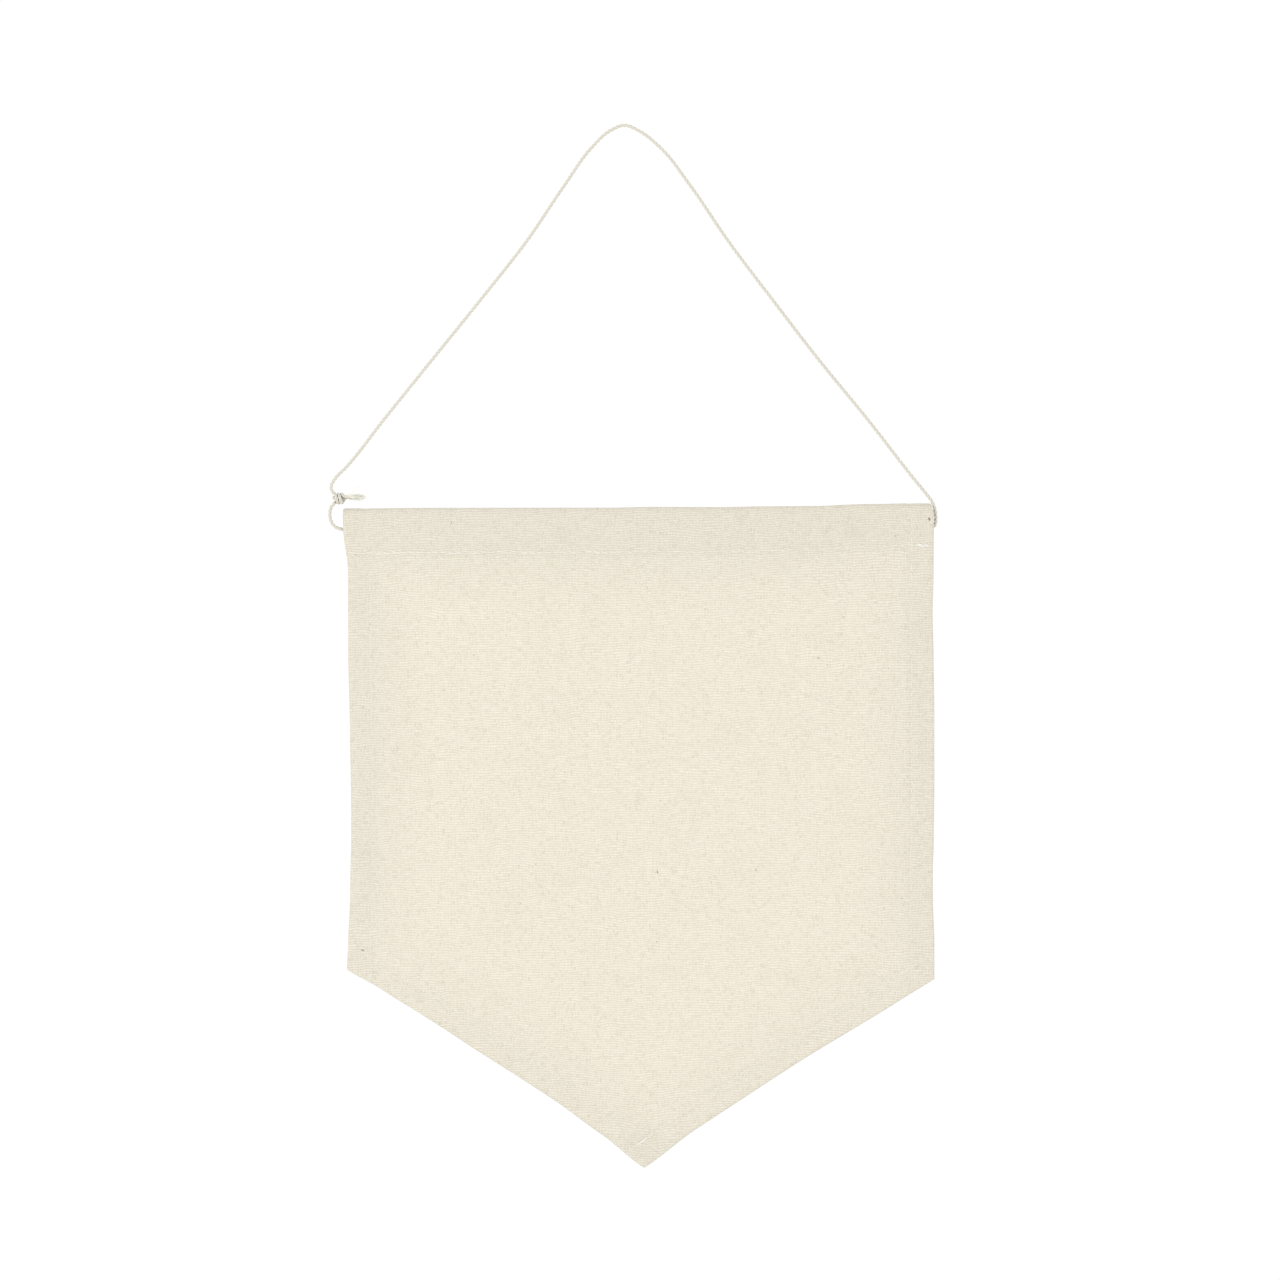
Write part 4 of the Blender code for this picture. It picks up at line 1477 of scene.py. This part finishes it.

# %% [markdown]
# ### The canvas's colour
#
# The yarns are creamy. Single cloth glows against a white ground, and doubled cloth less so: that is a
# painted shade. Between the yarns lies a darker gap of painted shade, and the painted shade of the gaps
# between the cross yarns runs on as fine level rows. Broad, faint clouds break up the evenness that a
# computer gives. Each is one blend towards a deeper or a lighter cream, and the colour is multiplied by the
# painted shade of the doubled cloth.

# %% From streaks to colour
CREAM = (0.728, 0.679, 0.577, 1.0)
CREAM_DEEP = (0.521, 0.468, 0.372, 1.0)
CREAM_LIGHT = (0.830, 0.793, 0.704, 1.0)
DOUBLED_SHADE = (0.909, 0.918, 0.920, 1.0)
CLOUD_NOISE = (60.0, 2.0, 0.6)
# From which to which value a yarn is light or deep, and how much of that cream it gets; so for the others
LIGHT_YARN = (0.52, 0.85, 0.0, 0.50)
DEEP_YARN = (0.46, 0.15, 0.0, 0.57)
SLUB = (0.34, 0.20, 0.0, 0.30)
CLOUD = (0.46, 0.32, 0.0, 0.06)
# Painted shade in the gaps between the yarns, and in the fine level rows between the cross yarns
GAP_SHADE = (0.52, 0.24, 0.0, 0.55)
ROW_GAP_SHADE = (0.80, 0.25, 0.0, 0.22)
clouds = noise(tree, flat, *CLOUD_NOISE)
tint = blend_colour(tree, spread(tree, streak, *LIGHT_YARN), CREAM, CREAM_LIGHT)
# Deeper yarns, slubs and clouds are random tone; the last two blends are painted shade
for value, reach in (
    (streak, DEEP_YARN),
    (slub, SLUB),
    (clouds, CLOUD),
    (weave_height, GAP_SHADE),
    (weft_wave, ROW_GAP_SHADE),
):
    tint = blend_colour(tree, spread(tree, value, *reach), tint, CREAM_DEEP)
# Painted shade where the cloth is doubled, fading slowly inward from the hems and the header
tint = blend_colour(tree, painted(tree, "painted_layer_shade", "Fac"), tint, DOUBLED_SHADE, "MULTIPLY")
print("with its colour:", len(tree.nodes), "nodes")

# %% [markdown]
# ### The canvas's relief
#
# The height of the weave bends the light at each crossing. Thick stretches of a yarn stand out a little more,
# and fibres run along whichever yarn is on top. All three are added up and go into one bump node, because the
# yarns are far too many to be modelled one by one.

# %% Relief and gloss
# How fine the fibres' noise is across a yarn, and how fine along it
WARP_FIBRES = (4.5, 1.3)
WEFT_FIBRES = (7.0, 0.8)
YARN_FIBRE_NOISE = (1.0, 2.0, 0.6)
STREAK_SHARE_OF_RELIEF = 0.5
FIBRE_SHARE_OF_RELIEF = 0.35
CANVAS_RELIEF = (0.12 * MM, 1.0)
CANVAS_ROUGHNESS = (0.2, 0.8, 0.86, 0.97)
CANVAS_SHEEN = 0.12
CANVAS_SPECULAR = 0.2
warp_beside = calc(tree, "MULTIPLY", across, WARP_FIBRES[0])
warp_fibres = join_place(tree, warp_beside, calc(tree, "MULTIPLY", down, WARP_FIBRES[1]))
weft_beside = calc(tree, "MULTIPLY", down, WEFT_FIBRES[0])
weft_fibres = join_place(tree, weft_beside, calc(tree, "MULTIPLY", across, WEFT_FIBRES[1]))
fibres = noise(tree, choose_place(tree, warp_on_top, weft_fibres, warp_fibres), *YARN_FIBRE_NOISE)
relief = calc(tree, "ADD", weave_height, calc(tree, "MULTIPLY", streak, STREAK_SHARE_OF_RELIEF))
relief = calc(tree, "ADD", relief, calc(tree, "MULTIPLY", fibres, FIBRE_SHARE_OF_RELIEF))
finish_surface(tree, shader, tint, spread(tree, streak, *CANVAS_ROUGHNESS), CANVAS_SPECULAR,
               bump(tree, relief, *CANVAS_RELIEF))
feed(tree, shader.inputs["Sheen Weight"], CANVAS_SHEEN)
mesh.materials.append(canvas)
print("canvas:", len(tree.nodes), "nodes")

# %% The cloth stands for its plain solid
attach(cloth, "root")
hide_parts("banner_cloth")
print("the cloth hangs in", [round(size * 1000) for size in cloth.dimensions], "mm")

# %% [markdown]
# ## Stitches
#
# The seams are lockstitch, 2.8 mm long. On a real seam each stitch comes out of one needle hole, lies on the
# cloth and goes down into the next, a little slanted. So each is a short arched thread whose ends are sunk in
# the cloth. All stitches of one side of the banner are joined into one mesh.

# %% The thread of a stitch
THREAD_RADIUS = 0.18 * MM
THREAD_SIDES = 8
STITCH_STEPS = 13
# How far the two plies turn from ring to ring, in radians, and how much they stand out
THREAD_TWIST = 0.85
PLY_WAVE = 0.13
# The thread's size at a needle hole, against its middle
HOLE_SIZE = 0.78
# A thread's painted value: its middle, and how much more it is on a ply and less in the groove
PLY_MIDDLE = 0.6
PLY_CONTRAST = 0.4


def stitch_section(index, shade):
    """Two twisted plies of the thread, thinner where it goes into the cloth."""
    share = index / STITCH_STEPS
    size = THREAD_RADIUS * (HOLE_SIZE + (1.0 - HOLE_SIZE) * math.sin(math.pi * share))
    rows = []
    for side in range(THREAD_SIDES):
        angle = 2 * math.pi * side / THREAD_SIDES
        wave = math.cos(2 * (angle - THREAD_TWIST * index))
        radius = size * (1.0 + PLY_WAVE * wave)
        value = shade * (PLY_MIDDLE + PLY_CONTRAST * wave)
        rows.append((math.cos(angle) * radius, math.sin(angle) * radius, value))
    return rows


print(f"the sewing thread is {2 * THREAD_RADIUS / MM:.2f} mm thick")

# %% One stitch
# How deep its ends are sunk, in thread radiuses, and how steeply it rises
SUNK = 1.3
STEEPNESS = 0.6
# The very ends of the curve are too steep and are left out
STEEP_END = 0.02
# A drawn-in stitch catches less light. From this rise on, in thread radiuses, a stitch has its full shade
PROUD_RISE = 0.6
BURIED_SHADE = 0.35


def add_stitch(shape, start, end, surface, outwards, rise):
    """Lay one stitch between two places of the cloth, given as (across, down)."""
    shares = np.linspace(0.0, 1.0, STITCH_STEPS + 1)
    x = start[0] + (end[0] - start[0]) * shares
    down = start[1] + (end[1] - start[1]) * shares
    bow = np.sin(math.pi * np.clip(shares, STEEP_END, 1.0 - STEEP_END)) ** STEEPNESS
    arch = THREAD_RADIUS * ((SUNK + rise) * bow - SUNK)
    line = on_cloth(x, down, surface(x, down) + outwards * arch)
    shade = BURIED_SHADE + (1.0 - BURIED_SHADE) * max(0.0, min(1.0, rise / PROUD_RISE))
    sweep(shape, [Vector(point) for point in line], lambda index: stitch_section(index, shade))


print("a stitch has", STITCH_STEPS + 1, "rings")

# %% A row of stitches
STITCH_PITCH = 2.8 * MM
STITCH_GAP = 0.55 * MM
# How high the stitches lie at a row's start and end, in thread radiuses, and how much lower some are drawn
HEM_RISE = (0.0, 0.0)
HEADER_RISE = (1.0, 0.1)
DRAWN_IN = 0.8
# How far stitches stray from the line of their seam, and how much of that is slant: more to one side
HEM_STRAY = 0.10 * MM
HEADER_STRAY = 0.24 * MM
SLANTS = (-0.4, 1.0)


def add_seam(shape, start, end, surface, outwards, rise=HEM_RISE, stray=HEM_STRAY):
    """A row of stitches between two places of the cloth. It may lie deeper towards its end."""
    start, end = Vector(start), Vector(end)
    way = (end - start).normalized()
    beside = Vector((-way.y, way.x))
    count = round((end - start).length / STITCH_PITCH)
    for number in range(count):
        first = start + (end - start) * (number / count)
        last = start + (end - start) * ((number + 1) / count)
        gap = way * (STITCH_GAP / 2)
        slant = beside * dice.uniform(*SLANTS) * stray
        drift = beside * dice.uniform(-1.0, 1.0) * stray
        here = rise[0] + (rise[1] - rise[0]) * number / count - DRAWN_IN * dice.random() ** 2
        add_stitch(shape, first + gap + drift - slant, last - gap + drift + slant, surface, outwards, here)


print(f"each stitch shows {(STITCH_PITCH - STITCH_GAP) / MM:.2f} mm of thread")

# %% The faces that the stitches lie on
def front_surface(x, down):
    """Height of the face of the front layer, and of the back wall's outer face."""
    return stitch_dent(x, down) - HALF


def side_back_surface(x, down):
    """Height of the back of a side hem."""
    return np.full_like(x, 2 * LAYER + HALF - STITCH_DENT)


def left_back_surface(x, down):
    """Height of the back of the left lower hem."""
    return side_back_surface(x, down) + climb(np.abs(x - BODY_LEFT))


def right_back_surface(x, down):
    """Height of the back of the right lower hem."""
    z = TOP_Z - down + HEADER_SLACK
    over_left = climb((z - left_foot(x, 0.0)) * LEFT_COSINE)
    return side_back_surface(x, down) + np.maximum(climb(np.abs(BODY_RIGHT - x)), over_left)


hem_back = float(side_back_surface(np.zeros(1), np.zeros(1))[0])
print(f"the back of a hem lies {hem_back / MM:.2f} mm behind the front layer's middle")


# %% The rows of stitches
SEAM_DOWN = SEAM_DROP + HEADER_SLACK
END_INSET = 1.2 * MM
SIDE_SEAM_START = 1.0 * MM


def down_at(z):
    """The place down the cloth that lies at a height."""
    return float(TOP_Z - z + HEADER_SLACK)


def on_lower_seam(foot_z, x):
    """A place on a lower stitch line."""
    return x, down_at(foot_z(x, STITCH_INSET))


left_seam_x = BODY_LEFT + STITCH_INSET
right_seam_x = BODY_RIGHT - STITCH_INSET
left_seam_start = on_lower_seam(left_foot, BODY_LEFT + END_INSET)
right_seam_start = on_lower_seam(right_foot, BODY_RIGHT - END_INSET)
left_seam_end = on_lower_seam(left_foot, tip_at(STITCH_INSET, END_INSET)[0])
right_seam_end = on_lower_seam(right_foot, tip_at(END_INSET, STITCH_INSET)[0])
header_ends = ((BODY_LEFT + END_INSET, SEAM_DOWN), (BODY_RIGHT - END_INSET, SEAM_DOWN))
left_side_end = (left_seam_x, down_at(left_foot(left_seam_x, END_INSET)))
right_side_end = (right_seam_x, down_at(right_foot(right_seam_x, END_INSET)))

front_shape = new_shape()
add_seam(front_shape, *header_ends, front_surface, -1.0, HEADER_RISE, HEADER_STRAY)
for start, end in (
    ((left_seam_x, SIDE_SEAM_START), left_side_end),
    ((right_seam_x, SIDE_SEAM_START), right_side_end),
    (left_seam_start, left_seam_end),
    (right_seam_start, right_seam_end),
):
    add_seam(front_shape, start, end, front_surface, -1.0)
front_stitches = make_object("front_stitches", front_shape, "ply")

# %% The same seams on the back
# A hem's seam shows from this far inside the later hem, and below the header's back wall
HEM_SEEN_FROM = 8.9 * MM
BELOW_HEADER = 18.5 * MM + HEADER_SLACK
back_shape = new_shape()
back_header_ends = [(x, -down) for x, down in header_ends]
add_seam(back_shape, *back_header_ends, front_surface, -1.0, HEADER_RISE, HEADER_STRAY)
for seam_x, foot_z in ((left_seam_x, left_foot), (right_seam_x, right_foot)):
    hidden = (seam_x, down_at(foot_z(seam_x, HEM_SEEN_FROM)))
    add_seam(back_shape, (seam_x, BELOW_HEADER), hidden, side_back_surface, 1.0)
left_under_tip = on_lower_seam(left_foot, tip_at(STITCH_INSET, HEM_SEEN_FROM)[0])
add_seam(back_shape, left_seam_start, left_under_tip, left_back_surface, 1.0)
add_seam(back_shape, right_seam_start, right_seam_end, right_back_surface, 1.0)
back_stitches = make_object("back_stitches", back_shape, "ply")

# %% [markdown]
# ### Back-tacks
#
# A seam is secured by sewing back and forth over its end. Two of them show as short white marks: at the right
# end of the header's seam and at the tip, along the right lower edge. A straight row of copies would look too
# neat, so each tack goes from needle hole to needle hole, and the holes are listed one by one after the
# photo.

# %% The needle holes of the tacks
# Needle holes in turn, as millimetres along the seam from the tack's start and across it
HEADER_TACK = (
    (0.0, 0.38),
    (1.1, -0.42),
    (2.7, 0.35),
    (1.0, -0.12),
    (2.5, 0.08),
    (1.2, 0.20),
    (2.9, 0.55),
    (3.5, 0.0),
    (4.8, 0.50),
    (3.6, 0.25),
)
TIP_TACK = ((0.1, -0.12), (2.6, -0.38), (4.3, -0.22), (2.8, -0.45), (0.7, -0.10), (2.9, -0.14))
TIP_DOT = ((5.9, -0.45), (6.9, -0.20), (6.0, -0.20))
LAST_DOT = ((8.1, -0.30), (8.9, -0.38))
print("needle holes in the header's tack:", len(HEADER_TACK))

# %% Sewing the tacks
# How high the tacks and the two dots past the tip's tack lie, in thread radiuses
TACK_RISE = 0.8
TIP_DOT_RISE = 0.1
LAST_DOT_RISE = 0.0
# How much higher each second stitch of a tack lies, over the first
TACK_LIFT = 0.08 * MM
HEADER_TACK_X = 100.9 * MM
# Across from the nail: where the tip's tack starts, and a second place on its seam
TIP_TACK_X = 4.6 * MM
TIP_SEAM_X = 12.8 * MM


def add_tack(shape, start, way, holes, surface, outwards, rise=TACK_RISE):
    """One thread from hole to hole, a little over itself where it comes back."""
    beside = Vector((-way.y, way.x))
    in_turn = [start + (way * ahead + beside * aside) * MM for ahead, aside in holes]
    for number, (first, last) in enumerate(zip(in_turn, in_turn[1:])):
        raised = outwards * TACK_LIFT * (number % 2)
        add_stitch(shape, first, last, lambda x, down: surface(x, down) + raised, outwards, rise)


tack_shape = new_shape()
header_way = Vector((1.0, 0.0))
for down in (SEAM_DOWN, -SEAM_DOWN):
    add_tack(tack_shape, Vector((HEADER_TACK_X, down)), header_way, HEADER_TACK, front_surface, -1.0)
tip_start = Vector(on_lower_seam(right_foot, TIP_TACK_X))
tip_way = (Vector(on_lower_seam(right_foot, TIP_SEAM_X)) - tip_start).normalized()
for holes, rise in ((TIP_TACK, TACK_RISE), (TIP_DOT, TIP_DOT_RISE), (LAST_DOT, LAST_DOT_RISE)):
    add_tack(tack_shape, tip_start, tip_way, holes, front_surface, -1.0, rise)
    add_tack(tack_shape, tip_start, tip_way, holes, right_back_surface, 1.0, rise)
back_tacks = make_object("back_tacks", tack_shape, "ply")

# %% [markdown]
# ## The sewing thread's finish
#
# The thread is finer and smoother than the canvas yarn, with a soft shine along its twist. A little sheen and
# a lower roughness set it off. The tacks use a whiter shade of the same thread.

# %% Sewing thread
# Each with the shade in its grooves
THREAD = (0.88, 0.855, 0.785, 1.0)
THREAD_GROOVE = (0.68, 0.64, 0.55, 1.0)
WHITE_THREAD = (0.87, 0.855, 0.825, 1.0)
WHITE_THREAD_GROOVE = (0.66, 0.64, 0.60, 1.0)
THREAD_FIBRE_SCALE = 7000.0
THREAD_ROUGHNESS = (0.2, 0.8, 0.55, 0.75)
THREAD_SHEEN = 0.2
THREAD_SPECULAR = 0.35
THREAD_RELIEF = (0.03 * MM, 0.5)


def make_thread(name, colour, groove):
    """A twisted thread with a soft shine."""
    thread, tree, shader = new_material(name)
    fibres = noise(tree, object_place(tree), THREAD_FIBRE_SCALE, 2.0)
    tint = blend_colour(tree, painted(tree, "ply", "Fac"), groove, colour)
    finish_surface(tree, shader, tint, spread(tree, fibres, *THREAD_ROUGHNESS), THREAD_SPECULAR,
                   bump(tree, fibres, *THREAD_RELIEF))
    feed(tree, shader.inputs["Sheen Weight"], THREAD_SHEEN)
    return thread


thread = make_thread("sewing_thread", THREAD, THREAD_GROOVE)
white_thread = make_thread("white_sewing_thread", WHITE_THREAD, WHITE_THREAD_GROOVE)
for piece, finish in ((front_stitches, thread), (back_stitches, thread), (back_tacks, white_thread)):
    piece.data.materials.append(finish)
    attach(piece, "root")
    print(f"{piece.name}: {finish.name}")

# %% [markdown]
# ## Seed flecks
#
# Unbleached cotton still holds bits of seed coat. They show as brown specks no longer than a millimetre. The
# larger ones lie where the photo shows them, and small ones are strewn over both faces. Each is a tiny
# flattened splinter in the surface, because a painted dot would have no depth up close.

# %% The larger flecks, by their place in the photo
PIXEL = 0.347 * MM
# The pixel under the top bend, where the cord hangs on the nail
PHOTO_ORIGIN = (624.5, 127.0)
# Pixel across, pixel down, length and width in millimetres, angle in degrees
PHOTO_FLECKS = (
    (658.0, 872.0, 1.30, 0.42, 70.0),
    (756.0, 870.0, 0.80, 0.38, 40.0),
    (819.0, 658.0, 0.70, 0.36, 100.0),
    (657.0, 942.0, 0.55, 0.30, 20.0),
    (363.0, 950.0, 1.00, 0.42, 10.0),
    (565.0, 772.0, 0.60, 0.32, 80.0),
    (536.0, 864.0, 0.60, 0.30, 120.0),
    # A dark spot at the header's right end, beside the channel's mouth, is made as a fleck too
    (929.0, 519.2, 1.25, 0.90, 75.0),
    (895.5, 536.0, 0.60, 0.34, 100.0),
    (452.0, 523.0, 0.70, 0.34, 85.0),
    (902.0, 898.0, 0.55, 0.28, 35.0),
    (474.0, 655.0, 0.50, 0.26, 95.0),
    (356.0, 555.0, 0.55, 0.26, 60.0),
    (444.0, 690.0, 0.50, 0.28, 15.0),
)
print("flecks placed after the photo:", len(PHOTO_FLECKS))

# %% One fleck
FLECK_STEPS = 7
# How far a fleck bows to one side, against its length
FLECK_BEND = 0.15
# How deep a fleck's middle lies under the cloth's face, against the fleck's width
FLECK_SUNK = 0.12
# How wide its ends still are, against its middle
BLUNT_END = 0.15
# How far each corner of a fleck's outline lies from its middle, and how much that varies
HUSK_REACHES = (1.0, 0.85, 0.8, 0.9, 1.05, 0.95, 0.75, 0.9)
HUSK_SIZES = (0.8, 1.15)
fleck_shape = new_shape()


def husk_section(width, round_here, shade):
    """A flat, uneven splinter's outline."""
    rows = []
    for side, reach in enumerate(HUSK_REACHES):
        angle = 2 * math.pi * side / len(HUSK_REACHES)
        size = width / 2 * round_here * reach * dice.uniform(*HUSK_SIZES)
        rows.append((math.cos(angle) * size, math.sin(angle) * size, shade))
    return rows


def add_fleck(x, down, length, width, angle, front, shade):
    """A splinter that lies in the front face of the panel, or in its back."""
    way = Vector((math.cos(angle), math.sin(angle)))
    bend = Vector((-way.y, way.x)) * length * dice.uniform(-FLECK_BEND, FLECK_BEND)
    shares = np.linspace(-0.5, 0.5, FLECK_STEPS + 1)
    bow = 1.0 - 4.0 * shares**2
    height = (-1.0 if front else 1.0) * (HALF - FLECK_SUNK * width)
    fleck_x = x + way.x * length * shares + bend.x * bow
    fleck_down = down + way.y * length * shares + bend.y * bow
    line = [Vector(point) for point in on_cloth(fleck_x, fleck_down, np.full_like(shares, height))]
    rounds = [max(BLUNT_END, math.sqrt(max(0.0, 1.0 - (2.0 * share) ** 2))) for share in shares]
    sweep(fleck_shape, line, lambda step: husk_section(width, rounds[step], shade))


print("a fleck has", FLECK_STEPS + 1, "rings of", len(HUSK_REACHES), "corners")

# %% All the flecks
# The place on the cloth is found in a few steps, each from the miss of the last one
PLACE_STEPS = 3
FLECK_COUNT = 210
# How far the small flecks keep from the edges and from the top fold
FLECK_MARGIN = 10.0 * MM
FLECKS_FROM = 20.0 * MM
# Millimetres of length, and the width against it
SMALL_LENGTHS = (0.22, 0.60)
SMALL_WIDTHS = (0.3, 0.5)


def place_on_cloth(seen_x, seen_z):
    """The place of the cloth that hangs where the photo shows something."""
    x, down = seen_x, TOP_Z - seen_z + HEADER_SLACK
    for attempt in range(PLACE_STEPS):
        hung_x, depth, hung_z = on_cloth(x, down, -HALF)[0]
        x, down = x + seen_x - hung_x, down + hung_z - seen_z
    return float(x), float(down)


for across_px, down_px, length, width, angle in PHOTO_FLECKS:
    x, down = place_on_cloth((across_px - PHOTO_ORIGIN[0]) * PIXEL, (PHOTO_ORIGIN[1] - down_px) * PIXEL)
    add_fleck(x, down, length * MM, width * MM, math.radians(angle), True, 0.0)
for number in range(FLECK_COUNT):
    # Two of three lie in the front
    in_front = number % 3 > 0
    x = dice.uniform(BODY_LEFT + FLECK_MARGIN, BODY_RIGHT - FLECK_MARGIN)
    lowest = float(TOP_Z - fold_z(np.array(x), FLECK_MARGIN))
    down = dice.uniform(FLECKS_FROM, lowest) + HEADER_SLACK
    length = dice.uniform(*SMALL_LENGTHS) * MM
    width = length * dice.uniform(*SMALL_WIDTHS)
    angle = dice.uniform(0.0, math.pi)
    add_fleck(x, down, length, width, angle, in_front, dice.random())
seed_flecks = make_object("seed_flecks", fleck_shape, "shade")

# %% The flecks' finish
HUSK_BROWN = (0.30, 0.24, 0.16, 1.0)
HUSK_PALE = (0.62, 0.53, 0.38, 1.0)
HUSK_DARK = (0.25, 0.20, 0.14, 1.0)
HUSK_GRAIN_SCALE = 9000.0
HUSK_ROUGHNESS = 0.8
HUSK_SPECULAR = 0.5
HUSK_RELIEF = (0.03 * MM, 0.6)
fleck_finish, tree, shader = new_material("seed_fleck")
husk = blend_colour(tree, painted(tree, "shade", "Fac"), HUSK_BROWN, HUSK_PALE)
grain = noise(tree, object_place(tree), HUSK_GRAIN_SCALE)
husk = blend_colour(tree, grain, husk, HUSK_DARK)
finish_surface(tree, shader, husk, HUSK_ROUGHNESS, HUSK_SPECULAR, bump(tree, grain, *HUSK_RELIEF))
seed_flecks.data.materials.append(fleck_finish)
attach(seed_flecks, "root")
print("seed flecks:", len(tree.nodes), "nodes")

# %% [markdown]
# ## The sheet's facts
#
# The cut piece is the finished outline plus what the hems and the header take up. Here only the top of
# the cut piece is worked out, from the raw edge that is turned under behind the header.

# %% Where the top of the cut cloth lies
cut_top = -float(np.min(under_flat))

# %% [markdown]
# ## Floor and light
#
# The photo is a cut-out on pure white. A white sky around the banner gives that ground at once and lights the
# cloth evenly, which a backdrop wall would do with more effort and longer renders. Well below the picture
# lies a plain pale floor. Three large soft lights, two in front and one behind, give the relief of the weave
# a direction without hard shadows.

# %% A round pale floor
FLOOR_Z = -1.05
FLOOR_RADIUS = 1.5
FLOOR_SIDES = 96
PALE = (0.86, 0.86, 0.855, 1.0)
PAPER_ROUGHNESS = 0.9
PAPER_SPECULAR = 0.5
PAPER_GRAIN_SCALE = 900.0
PAPER_RELIEF = (0.1 * MM, 0.3)
disc = bmesh.new()
bmesh.ops.create_circle(disc, cap_ends=True, radius=FLOOR_RADIUS, segments=FLOOR_SIDES)
floor_mesh = bpy.data.meshes.new("pale_floor")
disc.to_mesh(floor_mesh)
disc.free()
floor = bpy.data.objects.new("pale_floor", floor_mesh)
floor.location = (0.0, 0.0, FLOOR_Z)
bpy.context.scene.collection.objects.link(floor)
paper, tree, shader = new_material("pale_paper")
grain = noise(tree, object_place(tree), PAPER_GRAIN_SCALE)
finish_surface(tree, shader, PALE, PAPER_ROUGHNESS, PAPER_SPECULAR, bump(tree, grain, *PAPER_RELIEF))
floor_mesh.materials.append(paper)
print("floor:", len(floor_mesh.polygons), "face")

# %% White sky and soft lights
WHITE = (1.0, 1.0, 1.0, 1.0)
SKY_STRENGTH = 1.02
# Name, place in metres, width in metres, power in watts
LIGHTS = (
    ("key", (-1.4, -1.5, -0.15), 0.9, 11.9),
    ("fill", (1.7, -1.6, -0.5), 1.0, 7.2),
    ("back", (0.9, 1.9, -0.1), 1.1, 15.0),
)
for name, light_place, width, power in LIGHTS:
    light_data = bpy.data.lights.new(name, "AREA")
    light_data.shape = "SQUARE"
    light_data.size = width
    light_data.energy = power
    light = bpy.data.objects.new(name, light_data)
    light.location = light_place
    light.rotation_euler = (VIEW_CENTRE - light.location).to_track_quat("-Z", "Y").to_euler()
    bpy.context.scene.collection.objects.link(light)
sky = bpy.data.worlds.new("white_sky")
sky.use_nodes = True
background = sky.node_tree.nodes["Background"]
background.inputs["Color"].default_value = WHITE
background.inputs["Strength"].default_value = SKY_STRENGTH
bpy.context.scene.world = sky
bpy.context.scene.view_settings.view_transform = "Standard"
print(len(LIGHTS), "soft lights and a white sky")
